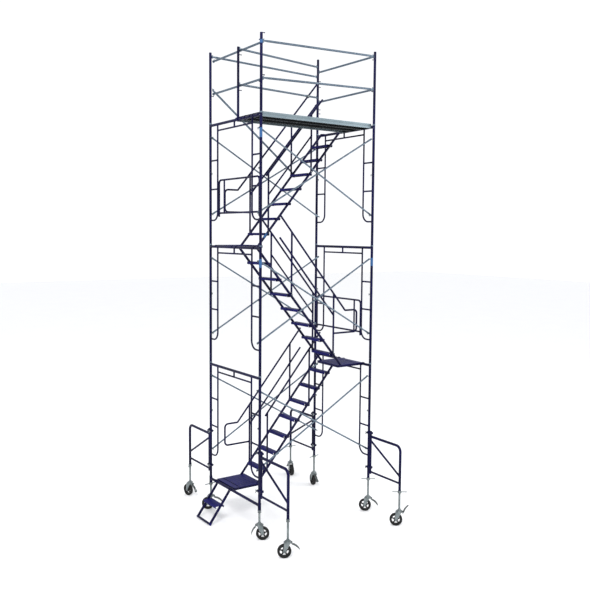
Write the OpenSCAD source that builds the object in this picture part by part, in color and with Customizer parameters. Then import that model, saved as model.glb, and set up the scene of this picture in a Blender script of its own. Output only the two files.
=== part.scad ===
// Mobile tower scaffold: three tiers of walk-through frames on levelling jacks and swivel casters,
// with outriggers, an inside stair, a plank deck and guard rails. +Z is up and the floor is z = 0.

/* [Tower] */
// Distance between the two ends, post centre to post centre
bay = 2134; // [1524:1:3048]
// Width of an end frame, post centre to post centre
frame_w = 1524; // [1500:1:1600]
// Height of one tier, collar to collar
tier_h = 1930.4; // [1900:0.1:2000]
// Height of the lower ends of the posts above the floor
post_z = 566; // [540:1:600]

/* [Tubes] */
// Outer diameter of posts and headers
post_d = 43; // [42:0.5:46]
// Wall of posts and headers
post_wall = 2.6; // [2:0.1:3.5]
// Outer diameter of the inner uprights, rungs and struts
small_d = 27; // [22:0.5:32]
// Wall of the small tubes
small_wall = 2.2; // [1.5:0.1:3]
// Outer diameter of guard rails
rail_d = 33; // [27:0.5:38]
// Outer diameter of cross brace tubes
brace_d = 25.4; // [20:0.2:30]

/* [End frames] */
// Distance of an inner upright from its post
inner_y = 240; // [200:1:260]
// Lower end of the bent upright, below the header
bend_drop = 1510; // [1300:1:1600]
// Radius of the bend at the lower end of an inner upright
bend_r = 130; // [100:1:160]
// Upper brace stud, below the top of the frame
stud_drop = 229; // [180:1:300]
// Distance between the upper and the lower brace stud
stud_span = 1219; // [1000:1:1250]

/* [Stairs] */
// Width of a stair over its stringers
stair_w = 560; // [500:1:565]
// Gap between a post's centre line and the stair beside it
lane_gap = 160; // [150:1:170]
// Length of the landing at the foot of a stair
landing_l = 545; // [500:1:600]
// Horizontal distance from one tread to the next
going = 203.2; // [190:0.1:210]
// Number of risers in one tier
risers = 8; // [8:1:8]
// Height from one tread to the next
tread_rise = 248; // [240:1:252]
// Depth of a tread
tread_l = 115; // [90:1:150]
// Outer diameter of a stringer tube
string_d = 40; // [36:0.5:43]
// Distance of a stringer's centre line below the line that the handrails follow
string_drop = 165; // [150:1:180]
// Outer diameter of stair handrails
hand_d = 30; // [25:0.5:34]
// Height of the handrail above the line of the treads' front edges
hand_h = 790; // [700:1:900]

/* [Outriggers] */
// Distance from a post to its outrigger leg
reach = 762; // [600:1:900]
// Height of an outrigger's top bar above the lower end of its leg
out_h = 708; // [600:1:800]

/* [Jacks and casters] */
// Outer diameter of a jack screw
screw_d = 35; // [30:0.5:37]
// Length of the T-handle of a jack nut
handle_l = 230; // [150:1:260]
// Wheel diameter
wheel_d = 203.2; // [150:0.2:220]
// Wheel width
wheel_w = 50; // [40:1:55]
// Horizontal distance from the swivel axis to the axle
trail = 50; // [40:1:60]

/* [Hidden] */
$fn = 32;
header_z = tier_h - 42;
mid_stud_drop = 800;
sleeve_h = 110;
starter_z = post_z - 42;
step_reach = 385;
collar_h = 20;
side_shift = 95;
xl = side_shift - bay / 2;
xr = xl + bay;
yf = -frame_w / 2;
yb = frame_w / 2;
post_r = post_d / 2;
rise = tier_h / risers;
slope = rise / going;
deck_drop = 30;
hook_t = 8;
// gap left round a welded end, which the weld bead fills
weld_gap = 0.2;
// distance from the landing's outer end to the header at the stair's top
stair_l = bay;
deck_top = 50;
top_z = post_z + 3 * tier_h;
// z of the top plate of a caster fork, and of the top of its swivel race
plate_z = 222;
race_z = 240;
axle_z = wheel_d / 2;
// pin that a brake lever turns on, from the swivel axis
lever_x = -58;
lever_z = plate_z - 11;
// Legs: name, x, y, extra drop of the nut, swivel angle, handle angle, angle of the lever below level
LEGS = [
    ["front_left", xl, yf, sleeve_h, -35, 62, 35],
    ["back_left", xl, yb, sleeve_h, 145, 5, 0],
    ["front_right", xr, yf, 0, 130, -35, 12],
    ["back_right", xr, yb, 0, 76, 12, 12],
    ["outer_front_left", xl, yf - reach, 0, 152, 55, 10],
    ["outer_back_left", xl, yb + reach, 0, 104, 50, 19],
    ["outer_front_right", xr, yf - reach, 0, 140, -35, -85],
    ["outer_back_right", xr, yb + reach, 0, -105, 0, 15]
];
// Frames: name, x, tier
FRAMES = [
    for (tier = [0:2], end = [0:1])
        [str(["lower", "middle", "upper"][tier], "_frame_", ["left", "right"][end]), [xl, xr][end], tier]
];
// Stairs: name, x of the landing's outer end, y of the inner stringer, tier, turn
STAIRS = [
    ["lower_stair", xl, yb - lane_gap - stair_w, 0, 0],
    ["middle_stair", xr, yf + lane_gap + stair_w, 1, 180],
    ["upper_stair", xl, yb - lane_gap - stair_w, 2, 0]
];

function header_at(tier) = post_z + tier * tier_h - 42;
function nose(s) = (s - landing_l) * slope + rise;
function string_line(s) = nose(s) - string_drop;

// ---- shared shapes ----

// Places children so that +Z runs from a to b
module along(a, b) {
    v = b - a;
    flat = norm([v[0], v[1]]);
    translate(a)
        rotate([0, atan2(flat, v[2]), atan2(v[1], v[0])])
            children();
}

module rod(a, b, d) {
    along(a, b) cylinder(h = norm(b - a), d = d);
}

// What is cut from a tube's end where it is welded to a tube of diameter d
module cope(a, b, d) {
    rod(a, b, d + 2 * weld_gap);
}

module tube(a, b, d, wall) {
    along(a, b)
        difference() {
            cylinder(h = norm(b - a), d = d);
            translate([0, 0, -1]) cylinder(h = norm(b - a) + 2, d = d - 2 * wall);
        }
}

// Quarter bend of a tube in the XZ plane: its centre of curvature is the origin
module bend(r, d, wall, angle = 90) {
    rotate([90, 0, 0])
        rotate_extrude(angle = angle, $fn = 48)
            translate([r, 0])
                difference() {
                    circle(d = d);
                    circle(d = d - 2 * wall);
                }
}

// Hook over a tube that runs along Y through the origin, open below
module hook(width, d = post_d) {
    translate([0, width / 2, 0])
        rotate([90, 0, 0])
            linear_extrude(width)
                difference() {
                    circle(d = d + 2 * hook_t);
                    circle(d = d + 0.6);
                    translate([-60, -120]) square([120, 113]);
                }
}

// ---- end frames ----

module frame_half() {
    tube([0, 0, 0], [0, 0, tier_h - collar_h], post_d, post_wall);
    bend_z = header_z - bend_drop;
    difference() {
        tube([0, inner_y, bend_z + bend_r + weld_gap], [0, inner_y, header_z], small_d, small_wall);
        cope([0, 0, header_z], [0, frame_w, header_z], post_d);
    }
    translate([0, inner_y - bend_r, bend_z + bend_r]) rotate([0, 90, 90]) bend(bend_r, small_d, small_wall);
    difference() {
        tube([0, 0, bend_z], [0, inner_y - bend_r - weld_gap, bend_z], small_d, small_wall);
        cope([0, 0, 0], [0, 0, tier_h], post_d);
    }
    for (drop = [560, 1016])
        difference() {
            tube([0, 0, header_z - drop], [0, inner_y, header_z - drop], small_d, small_wall);
            cope([0, 0, 0], [0, 0, tier_h], post_d);
            cope([0, inner_y, 0], [0, inner_y, tier_h], small_d);
        }
    for (drop = [stud_drop, mid_stud_drop, stud_drop + stud_span])
        difference() {
            rod([0, 0, tier_h - drop], [0, drop == mid_stud_drop ? 60 : 88, tier_h - drop], 11);
            cope([0, 0, 0], [0, 0, tier_h], post_d);
        }
}

module frame(x, tier) {
    second_z = header_z - 98;
    color("midnightblue")
        translate([x, yf, post_z + tier * tier_h]) {
            frame_half();
            translate([0, frame_w, 0]) mirror([0, 1, 0]) frame_half();
            difference() {
                tube([0, 0, header_z], [0, frame_w, header_z], post_d, post_wall);
                for (y = [0, frame_w]) cope([0, y, 0], [0, y, tier_h], post_d);
            }
            difference() {
                tube([0, inner_y, second_z], [0, frame_w - inner_y, second_z], small_d, small_wall);
                for (y = [inner_y, frame_w - inner_y]) cope([0, y, 0], [0, y, tier_h], small_d);
            }
            difference() {
                tube([0, frame_w / 2, second_z], [0, frame_w / 2, header_z], small_d, small_wall);
                cope([0, 0, header_z], [0, frame_w, header_z], post_d);
                cope([0, 0, second_z], [0, frame_w, second_z], small_d);
            }
        }
}

// Pins inside the post ends, each with its collar between two posts
module coupling_pins() {
    pin_d = post_d - 2 * post_wall - 0.2;
    color("lightgray")
        for (x = [xl, xr], y = [yf, yb], tier = [1:3])
            translate([x, y, post_z + tier * tier_h - collar_h]) {
                difference() {
                    union() {
                        cylinder(h = collar_h, d = post_d + 4);
                        translate([0, 0, -80]) cylinder(h = 160 + collar_h, d = pin_d);
                    }
                    translate([0, 0, -81]) cylinder(h = 182 + collar_h, d = pin_d - 7);
                }
            }
}

// ---- cross braces ----

module brace_arm(a, b) {
    v = b - a;
    length = norm(v);
    translate(a)
        rotate([0, -atan2(v[2], v[0]), 0])
            difference() {
                union() {
                    translate([55, 0, 0]) tube([0, 0, 0], [length - 110, 0, 0], brace_d, 1.8);
                    for (u = [-16, length - 64])
                        translate([u, -3, -15]) cube([80, 6, 30]);
                }
                for (u = [0, length]) translate([u, 20, 0]) rotate([90, 0, 0]) cylinder(h = 40, d = 12);
                translate([length / 2, 30, 0]) rotate([90, 0, 0]) cylinder(h = 60, d = 10);
            }
}

module cross_braces() {
    near = post_r + 17;
    far = near + brace_d + 2;
    color("lightslategray")
        for (tier = [0:2], side = [0:1]) {
            sign = side == 0 ? 1 : -1;
            y0 = side == 0 ? yf : yb;
            low = post_z + (tier + 1) * tier_h - stud_drop - stud_span;
            high = low + stud_span;
            brace_arm([xl, y0 + sign * near, high], [xr, y0 + sign * near, low]);
            brace_arm([xl, y0 + sign * far, low], [xr, y0 + sign * far, high]);
            translate([(xl + xr) / 2, y0 + sign * (near + far) / 2, (low + high) / 2])
                rotate([90, 0, 0]) {
                    translate([0, 0, -28]) cylinder(h = 56, d = 9.8);
                    for (z = [-33, 28]) translate([0, 0, z]) cylinder(h = 5, d = 18);
                }
        }
}

// ---- outriggers ----

module outrigger() {
    corner_r = 90;
    inner = post_d + 1;
    bar_end = corner_r - reach + weld_gap;
    module leg_and_upright() {
        cope([0, -reach, -1], [0, -reach, out_h], post_d);
        cope([0, -inner, -1], [0, -inner, 2 * out_h], post_d);
    }
    tube([0, -reach, 0], [0, -reach, out_h - corner_r - weld_gap], post_d, post_wall);
    translate([0, corner_r - reach, out_h - corner_r])
        rotate([0, 0, -90])
            bend(corner_r, post_d, post_wall);
    difference() {
        tube([0, bar_end, out_h], [0, -inner, out_h], post_d, post_wall);
        cope([0, -inner, 0], [0, -inner, 2 * out_h], post_d);
    }
    tube([0, -inner, 80], [0, -inner, out_h + 90], post_d, post_wall);
    for (bar = [[115, 115], [225, 645]])
        difference() {
            tube([0, -reach, bar[0]], [0, -inner, bar[1]], rail_d, post_wall);
            leg_and_upright();
        }
    for (z = [170, out_h + 40])
        difference() {
            translate([-29, -inner - 28, z]) cube([58, inner + 56, 34]);
            cope([0, 0, -10], [0, 0, 2 * out_h], post_d);
            cope([0, -inner, -10], [0, -inner, 2 * out_h], post_d);
        }
}

module outriggers(x) {
    color("midnightblue")
        translate([x, 0, post_z]) {
            translate([0, yf, 0]) outrigger();
            translate([0, yb, 0]) mirror([0, 1, 0]) outrigger();
        }
}

// ---- stairs ----

module stringer() {
    top_s = stair_l - 60;
    low_s = landing_l - 60;
    difference() {
        tube([low_s, 20, string_line(low_s)], [top_s, 20, string_line(top_s)], string_d, post_wall);
        translate([0, -5, -100 + weld_gap]) cube([landing_l + 30, 60, 100]);
    }
}

// A formed tread, open below, set across the stringers' line
module tread(z) {
    back_s = landing_l + (z - 20 + string_drop - rise) / slope + tread_l / 2 + 12;
    translate([back_s - tread_l, string_d + weld_gap, z - 38])
        difference() {
            cube([tread_l, stair_w - 2 * string_d - 2 * weld_gap, 38]);
            translate([3, -1, -1]) cube([tread_l - 6, stair_w, 36]);
        }
}

// Hook over the header at s, joined to what ends at the distance gap before it
module stair_hook(s, z, gap, turn) {
    translate([s, 0, z])
        mirror([turn, 0, 0])
            difference() {
                union() {
                    hook(30);
                    translate([post_r, -15, -20]) cube([gap - 0.2 - post_r, 30, 45]);
                }
                rod([0, -20, 0], [0, 20, 0], post_d + 0.6);
            }
}

module stair(s) {
    color("midnightblue")
        translate([s[1], s[2], header_at(s[3]) + deck_drop])
            rotate([0, 0, s[4]]) {
                stringer();
                translate([0, stair_w, 0]) mirror([0, 1, 0]) stringer();
                for (i = [1:risers - 1]) tread(tier_h - (risers - i) * tread_rise);
                difference() {
                    translate([32, 0, -40]) cube([landing_l - 32, stair_w, 40]);
                    translate([36, 4, -41]) cube([landing_l - 40, stair_w - 8, 38]);
                    translate([120, 30, -5]) cube([22, stair_w - 60, 10]);
                }
                for (y = [20, stair_w - 20]) {
                    translate([0, y, 0]) stair_hook(0, -deck_drop, 32, 0);
                    translate([0, y, 0]) stair_hook(stair_l, tier_h - deck_drop, 56, 1);
                }
            }
}

// Straight handrail parts of one side: a sloped rail between s0 and s1
module slope_rail(s0, s1, up) {
    tube([s0, 0, nose(s0) + up], [s1, 0, nose(s1) + up], hand_d, 2.5);
}

module slope_cope(s, up) {
    cope([s - 80, 0, nose(s - 80) + up], [s + 80, 0, nose(s + 80) + up], hand_d);
}

module hand_post(s, up) {
    difference() {
        tube([s, 0, nose(s) - 190], [s, 0, nose(s) + up], hand_d, 2.5);
        slope_cope(s, up);
    }
}

module outer_handrail(top_s) {
    post_s = [660, 1480];
    loop_s = 185;
    loop_top = 890;
    loop_low = 530;
    bend_c = 60;
    flat_s = loop_s + bend_c + weld_gap;
    knee = landing_l + (loop_top - rise - hand_h) / slope;
    mid = hand_h - 345;
    translate([0, stair_w + hand_d / 2 + 0.5, 0]) {
        slope_rail(knee, top_s, hand_h);
        difference() {
            tube([flat_s, 0, loop_top], [knee, 0, loop_top], hand_d, 2.5);
            slope_cope(knee + 79, hand_h);
        }
        translate([loop_s + bend_c, 0, loop_top - bend_c])
            rotate([0, 0, 180])
                bend(bend_c, hand_d, 2.5);
        tube([loop_s, 0, loop_low + bend_c + weld_gap], [loop_s, 0, loop_top - bend_c - weld_gap], hand_d, 2.5);
        translate([loop_s + bend_c, 0, loop_low + bend_c])
            rotate([0, 90, 180])
                bend(bend_c, hand_d, 2.5);
        difference() {
            tube([flat_s, 0, loop_low], [post_s[0], 0, loop_low], hand_d, 2.5);
            cope([post_s[0], 0, 0], [post_s[0], 0, 2000], hand_d);
        }
        for (s = post_s) hand_post(s, hand_h);
        difference() {
            slope_rail(post_s[0], top_s, mid);
            for (s = post_s) cope([s, 0, 0], [s, 0, 3000], hand_d);
        }
    }
}

module inner_handrail() {
    post_s = [640, 1470];
    mid = hand_h - 345;
    translate([0, -hand_d / 2 - 0.5, 0]) {
        slope_rail(600, 1690, hand_h);
        for (s = post_s) hand_post(s, hand_h);
        difference() {
            tube([post_s[0], 0, nose(post_s[0]) + mid], [post_s[1], 0, nose(post_s[1]) + mid], small_d, 2.2);
            for (s = post_s) cope([s, 0, 0], [s, 0, 3000], hand_d);
        }
    }
}

module stair_handrails() {
    color("midnightblue")
        for (s = STAIRS)
            translate([s[1], s[2], header_at(s[3]) + deck_drop])
                rotate([0, 0, s[4]]) {
                    outer_handrail(s[3] == 2 ? 2040 : 1700);
                    inner_handrail();
                }
}

// ---- left end: starter bar and entry step ----

module starter_bar() {
    color("darkslateblue") {
        difference() {
            tube([xl, yf, starter_z], [xl, yb, starter_z], post_d, post_wall);
            for (y = [yf, yb]) cope([xl, y, starter_z - 100], [xl, y, starter_z + 100], post_d + 8);
        }
        for (y = [yf, yb])
            tube([xl, y, post_z - sleeve_h], [xl, y, post_z - weld_gap], post_d + 8, 6);
    }
}

module entry_step() {
    foot_z = 26;
    rail_y = [yb - lane_gap - stair_w + 76, yb - lane_gap - 76];
    color("midnightblue") {
        for (y = rail_y) {
            difference() {
                union() {
                    translate([xl, y, starter_z]) hook(24);
                    along([xl, y, starter_z], [xl - step_reach + 20, y, foot_z])
                        translate([-19, -4, post_r + 1])
                            cube([38, 8, norm([step_reach - 20, 0, starter_z - foot_z]) - post_r - 1]);
                }
                rod([xl, yf, starter_z], [xl, yb, starter_z], post_d + 0.6);
                cope([xl - step_reach + 20, yf, foot_z], [xl - step_reach + 20, yb, foot_z], small_d);
            }
        }
        rod([xl - step_reach + 20, rail_y[0] - 20, foot_z], [xl - step_reach + 20, rail_y[1] + 20, foot_z], small_d);
        translate([xl - 262, rail_y[0] + 4 + weld_gap, 252])
            difference() {
                cube([150, rail_y[1] - rail_y[0] - 8 - 2 * weld_gap, 32]);
                translate([3, -1, -1]) cube([144, rail_y[1] - rail_y[0] - 6, 30]);
            }
    }
}

// ---- deck and guards ----

module planks() {
    width = 235;
    pitch = 238;
    color("gray")
        for (i = [0:2])
            translate([xl, yf + 27 + i * pitch, header_at(3)]) {
                difference() {
                    translate([34, 0, deck_top - 70]) cube([bay - 68, width, 70]);
                    translate([30, 3, deck_top - 72]) cube([bay - 60, width - 6, 69]);
                }
                for (y = [0.16 * width, 0.8 * width], end = [0:1])
                    translate([end * bay, y, 0])
                        mirror([end, 0, 0])
                            difference() {
                                union() {
                                    hook(26);
                                    translate([post_r, -13, -15]) cube([33.8 - post_r, 26, 40]);
                                }
                                rod([0, -20, 0], [0, 20, 0], post_d + 0.6);
                            }
                for (x = [35, bay - 41])
                    translate([x, 3, deck_top - 60]) cube([6, width - 6, 56]);
            }
}

module guard_post(x, y, height) {
    tube([x, y, top_z], [x, y, top_z + height], post_d - 1, post_wall - 0.6);
    translate([x, y, top_z + height]) cylinder(h = 3, d = post_d - 1);
}

module guard_posts() {
    g_y = yf + 650;
    color("midnightblue") {
        guard_post(xl, yf, 1105);
        guard_post(xl, yb, 1105);
        guard_post(xr, yf, 1130);
        guard_post(xr, yb, 1285);
        difference() {
            union() {
                translate([xl - 30, g_y - 22, header_at(3) - 28]) cube([60, 44, 56]);
                rod([xl, g_y, header_at(3) + 20], [xl, g_y, header_at(3) + 1073], 38);
            }
            rod([xl, yf, header_at(3)], [xl, yb, header_at(3)], post_d);
            rod([xl, g_y, header_at(3) + 40], [xl, g_y, header_at(3) + 1071], 33);
        }
    }
}

// A rail with a flat lug at each end
module guard_rail(a, b) {
    v = b - a;
    length = norm(v);
    along(a, b) {
        translate([0, 0, 60])
            difference() {
                cylinder(h = length - 120, d = rail_d);
                translate([0, 0, -1]) cylinder(h = length - 118, d = rail_d - 5);
            }
        for (z = [26, length - 76])
            translate([-3, -13, z]) cube([6, 26, 50]);
    }
}

module guard_rails() {
    h = header_at(3);
    inset = 42;
    color("lightslategray") {
        for (up = [[1036, 1105], [515, 590]])
            guard_rail([xl, yf, h + up[0]], [xr, yf, h + up[1]]);
        for (up = [[1012, 1030], [502, 510]]) {
            guard_rail([xl + inset, yf + 6, h + up[1]], [xl + inset, yb - 6, h + up[0]]);
            for (y = [[yf, 1, up[1]], [yb, -1, up[0]]])
                translate([xl + post_r - 2, y[0] + y[1] * 32 - 3, h + y[2] - 13]) cube([inset - post_r - 2, 6, 26]);
        }
        for (up = [1106, 592])
            guard_rail([xr, yf, h + up], [xr, yb, h + up]);
        guard_rail([xl, yb, h + 1090], [xr, yb, h + 1030]);
        // the lower of these two is notched round the upper stair's handrail, where a clamp joins them
        difference() {
            for (up = [[1045, 1200], [520, 673]])
                guard_rail([xl, yf + 650, h + up[0]], [xr - 4, yb - 2, h + up[1]]);
            translate([xl, yb - lane_gap + hand_d / 2 + 0.5, header_at(2) + deck_drop]) slope_cope(1790, hand_h);
        }
        guard_rail([xl + 4, yb - 40, h + 575], [xl + 1600, yb - lane_gap + 52, h - 730]);
    }
}

// Guard across one end: from a post to the far inner upright
module end_guard() {
    low = 505;
    high = 1025;
    r = 60;
    y0 = 97;
    y1 = frame_w - inner_y + 20;
    x = 38;
    tube([x, y0 + r + weld_gap, high], [x, y1 - r - weld_gap, high], hand_d, 2.5);
    translate([x, y0 + r, high - r]) rotate([0, 0, -90]) bend(r, hand_d, 2.5);
    translate([x, y1 - r, high - r]) rotate([0, 0, 90]) bend(r, hand_d, 2.5);
    for (y = [y0, y1]) tube([x, y, low - 60], [x, y, high - r - weld_gap], hand_d, 2.5);
    difference() {
        tube([x, y0, low], [x, y1, low], hand_d, 2.5);
        for (y = [y0, y1]) cope([x, y, 0], [x, y, high], hand_d);
    }
    difference() {
        tube([x, y1 - 165, low], [x, y1 - 165, high], small_d, 2.2);
        for (z = [low, high]) cope([x, y0, z], [x, y1, z], hand_d);
    }
}

module end_guards() {
    color("midnightblue") {
        translate([xr, yb, header_at(1) + deck_drop]) rotate([0, 0, 180]) end_guard();
        translate([xl, yf, header_at(2) + deck_drop]) end_guard();
    }
}

// ---- jacks and casters ----

module jack_screw(leg) {
    color("silver")
        translate([leg[1], leg[2], 0]) {
            translate([0, 0, race_z + 8]) cylinder(h = 600, d = screw_d);
            translate([0, 0, race_z]) cylinder(h = 8, d = 96);
            translate([0, 0, race_z + 8]) cylinder(h = 26, d = 50);
            translate([0, 0, plate_z - 8]) cylinder(h = race_z - plate_z + 9, d = 20);
            translate([0, 0, plate_z - 9]) cylinder(h = 8, d = 34);
        }
}

module jack_nut(leg) {
    nut_h = 38;
    color("silver")
        translate([leg[1], leg[2], post_z - leg[3] - nut_h])
            rotate([0, 0, leg[5]])
                difference() {
                    union() {
                        cylinder(h = nut_h - 0.5, d = 58);
                        translate([-handle_l / 2, 0, nut_h / 2]) rotate([0, 90, 0]) cylinder(h = handle_l, d = 16);
                    }
                    translate([0, 0, -1]) cylinder(h = nut_h + 2, d = screw_d + 0.16);
                }
}

module fork_cheek() {
    linear_extrude(5)
        difference() {
            union() {
                polygon([[-34, plate_z], [60, plate_z], [trail + 21, axle_z], [trail - 21, axle_z]]);
                translate([trail, axle_z]) circle(r = 21);
            }
            translate([trail, axle_z]) circle(r = 6);
        }
}

module caster_fork(leg) {
    color("lightgray")
        translate([leg[1], leg[2], 0])
            rotate([0, 0, leg[4]]) {
                difference() {
                    union() {
                        translate([lever_x - 8, -39, plate_z]) cube([70 - lever_x, 78, 6]);
                        translate([0, 0, plate_z + 6]) cylinder(h = race_z - plate_z - 6.5, d = 84);
                        for (y = [-34, 39]) translate([0, y, 0]) rotate([90, 0, 0]) fork_cheek();
                        for (y = [-27, 21]) translate([lever_x - 8, y, plate_z - 20]) cube([16, 6, 20]);
                    }
                    translate([0, 0, plate_z - 5]) cylinder(h = 40, d = 20.1);
                    translate([lever_x - 9, -20.5, plate_z - 1]) cube([17.5, 41, 8]);
                }
                translate([trail, 0, axle_z]) {
                    rotate([90, 0, 0]) translate([0, 0, -39]) cylinder(h = 78, d = 12);
                    for (y = [-45, 39]) translate([0, y, 0]) rotate([-90, 0, 0]) cylinder(h = 6, d = 22);
                }
                translate([lever_x, 27, lever_z]) rotate([90, 0, 0]) cylinder(h = 54, d = 8);
            }
}

// What is cut from a wheel: a recess in each side, and the openings between its spokes
module wheel_openings() {
    rim_r = wheel_d / 2 - 27;
    hub_r = 30;
    web = 16;
    for (z = [-wheel_w, web / 2])
        translate([0, 0, z])
            difference() {
                cylinder(h = wheel_w - web / 2, r = rim_r);
                translate([0, 0, -1]) cylinder(h = wheel_w, r = hub_r);
            }
    difference() {
        cylinder(h = wheel_w, r = rim_r - 5, center = true);
        cylinder(h = wheel_w + 2, r = hub_r + 4, center = true);
        for (i = [0:4])
            rotate(i * 72)
                translate([0, -8, -wheel_w]) cube([rim_r, 16, 2 * wheel_w]);
    }
}

module caster_wheel(leg) {
    color("black")
        translate([leg[1], leg[2], 0])
            rotate([0, 0, leg[4]])
                translate([trail, 0, axle_z])
                    rotate([90, 0, 0])
                        difference() {
                            union() {
                                cylinder(h = wheel_w, d = wheel_d, center = true, $fn = 64);
                                cylinder(h = 67, d = 46, center = true);
                            }
                            cylinder(h = 80, d = 12.1, center = true);
                            wheel_openings();
                        }
}

// Curved lever with a wider pedal at its tip
module brake_lever(leg) {
    curve_r = 150;
    module blade(from, to, width, thick) {
        translate([0, 0, -curve_r])
            rotate([90, 0, 0])
                rotate([0, 0, 90 + from])
                    rotate_extrude(angle = to - from)
                        translate([curve_r - thick / 2, -width / 2]) square([thick, width]);
    }
    color("silver")
        translate([leg[1], leg[2], 0])
            rotate([0, 0, leg[4]])
                translate([lever_x, 0, lever_z])
                    rotate([0, -leg[6], 0])
                        difference() {
                            union() {
                                rotate([90, 0, 0]) cylinder(h = 40, d = 17, center = true);
                                blade(1, 46, 30, 4);
                                blade(44, 60, 46, 5);
                            }
                            rotate([90, 0, 0]) cylinder(h = 60, d = 8.1, center = true);
                        }
}

// ---- what is drawn ----

for (f = FRAMES)
    frame(f[1], f[2]);
for (s = STAIRS)
    stair(s);
for (leg = LEGS) {
    jack_screw(leg);
    jack_nut(leg);
    caster_fork(leg);
    caster_wheel(leg);
    brake_lever(leg);
}
outriggers(xl);  // outriggers_left
outriggers(xr);  // outriggers_right
coupling_pins();
cross_braces();
stair_handrails();
starter_bar();
entry_step();
planks();
guard_posts();
guard_rails();
end_guards();
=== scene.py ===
# Mobile tower scaffold: blue welded frames and stairs, galvanised braces and rails, jacks on casters
import math

import bpy
import numpy as np
from mathutils import Matrix, Vector


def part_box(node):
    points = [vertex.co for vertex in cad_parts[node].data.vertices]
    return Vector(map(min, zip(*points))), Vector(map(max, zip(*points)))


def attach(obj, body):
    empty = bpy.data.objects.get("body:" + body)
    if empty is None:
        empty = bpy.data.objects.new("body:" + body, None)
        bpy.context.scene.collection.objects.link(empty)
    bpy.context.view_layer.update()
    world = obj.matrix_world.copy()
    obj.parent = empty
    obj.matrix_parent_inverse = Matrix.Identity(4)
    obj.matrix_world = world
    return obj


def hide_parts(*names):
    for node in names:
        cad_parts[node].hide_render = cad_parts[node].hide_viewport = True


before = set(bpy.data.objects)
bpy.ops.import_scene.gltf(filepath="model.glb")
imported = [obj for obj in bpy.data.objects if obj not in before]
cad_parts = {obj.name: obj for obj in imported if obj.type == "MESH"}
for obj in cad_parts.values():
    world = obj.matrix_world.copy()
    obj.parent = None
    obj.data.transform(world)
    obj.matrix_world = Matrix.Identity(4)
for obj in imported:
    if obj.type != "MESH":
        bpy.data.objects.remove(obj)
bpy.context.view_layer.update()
print("frame loaded:", len(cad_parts), "nodes")

xAxis, yAxis, zAxis = np.eye(3)


# Surfaces worked out on grids

def unit(v):
    return v / np.linalg.norm(v, axis=-1, keepdims=True)


def fullTurn(count):
    # angles once round, stopping short of the first again
    return np.linspace(0, 2 * np.pi, count, endpoint=False)


def onCircle(angle):
    return np.stack([np.cos(angle), np.sin(angle)], -1)


def spun(angle, side, top):
    # directions at these angles in the plane of side and top
    return np.cos(angle)[:, None] * side + np.sin(angle)[:, None] * top


def squared(wave, power):
    # a sine or cosine raised to a power, its sign kept, which squares off the circle that it draws
    return np.sign(wave) * np.abs(wave) ** power


def volumeOf(points, quads, tris):
    # a sixth of the triple product of each triangle's corners, summed over the surface
    corners = np.concatenate([quads[:, [0, 1, 2]], quads[:, [0, 2, 3]], tris])
    a, b, c = (points[corners[:, k]] for k in range(3))
    return float((a * np.cross(b, c)).sum()) / 6


def outward(points, quads, tris):
    # a closed shape whose volume comes out negative is inside out, so its faces are turned round
    centred = points - points.mean(0)
    if volumeOf(centred, quads, tris) < 0:
        quads, tris = quads[:, ::-1], tris[:, ::-1]
    return points, quads, tris


def gridQuads(rows, cols, loopRows):
    # each grid cell is one face; columns always join round, rows join when loopRows
    i = np.arange(rows if loopRows else rows - 1)[:, None]
    j = np.arange(cols)[None, :]
    nextI, nextJ = (i + 1) % rows, (j + 1) % cols
    faces = np.stack([i * cols + j, i * cols + nextJ, nextI * cols + nextJ, nextI * cols + j], -1)
    return faces.reshape(-1, 4)


def skin(grid, loopRows=False):
    # rows of points joined into a tube; the first and last rows are closed with a fan about their middle
    rows, cols = grid.shape[:2]
    points = grid.reshape(-1, 3)
    quads = gridQuads(rows, cols, loopRows)
    if loopRows:
        return outward(points, quads, np.zeros((0, 3), int))
    j = np.arange(cols)
    nextJ = (j + 1) % cols
    first = np.stack([np.full(cols, rows * cols), nextJ, j], -1)
    base = (rows - 1) * cols
    last = np.stack([np.full(cols, rows * cols + 1), base + j, base + nextJ], -1)
    points = np.concatenate([points, grid[0].mean(0)[None], grid[-1].mean(0)[None]])
    return outward(points, quads, np.concatenate([first, last]))


def gather(shapes):
    # several shapes as one, with each one's point numbers moved past those before it
    counts = np.cumsum([0] + [len(s[0]) for s in shapes])
    points = np.concatenate([s[0] for s in shapes])
    quads = np.concatenate([s[1] + n for s, n in zip(shapes, counts)])
    tris = np.concatenate([s[2] + n for s, n in zip(shapes, counts)])
    return points, quads, tris


def moved(shape, origin=(0, 0, 0), turn=None):
    # each point is turned by the matrix and then shifted to the origin
    points = shape[0] if turn is None else shape[0] @ np.asarray(turn).T
    return points + np.asarray(origin, float), shape[1], shape[2]


def aboutZ(angle):
    c, s = math.cos(angle), math.sin(angle)
    return np.array([[c, -s, 0], [s, c, 0], [0, 0, 1]])


def aboutY(angle):
    c, s = math.cos(angle), math.sin(angle)
    return np.array([[c, 0, s], [0, 1, 0], [-s, 0, c]])


def frameOf(points):
    # tangents by differences, and two directions square to them, from the axis that the path least follows
    tangent = unit(np.gradient(points, axis=0))
    steady = np.eye(3)[np.abs(tangent).sum(0).argmin()]
    side = unit(np.cross(steady, tangent))
    return side, np.cross(tangent, side)


def tube(points, radius, cols=16):
    # a circle carried along the path; radius may be one number or one for each point
    points = np.asarray(points, float)
    side, top = frameOf(points)
    r = np.broadcast_to(radius, len(points))[:, None, None]
    return skin(points[:, None] + r * spun(fullTurn(cols), side[:, None], top[:, None]))


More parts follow.
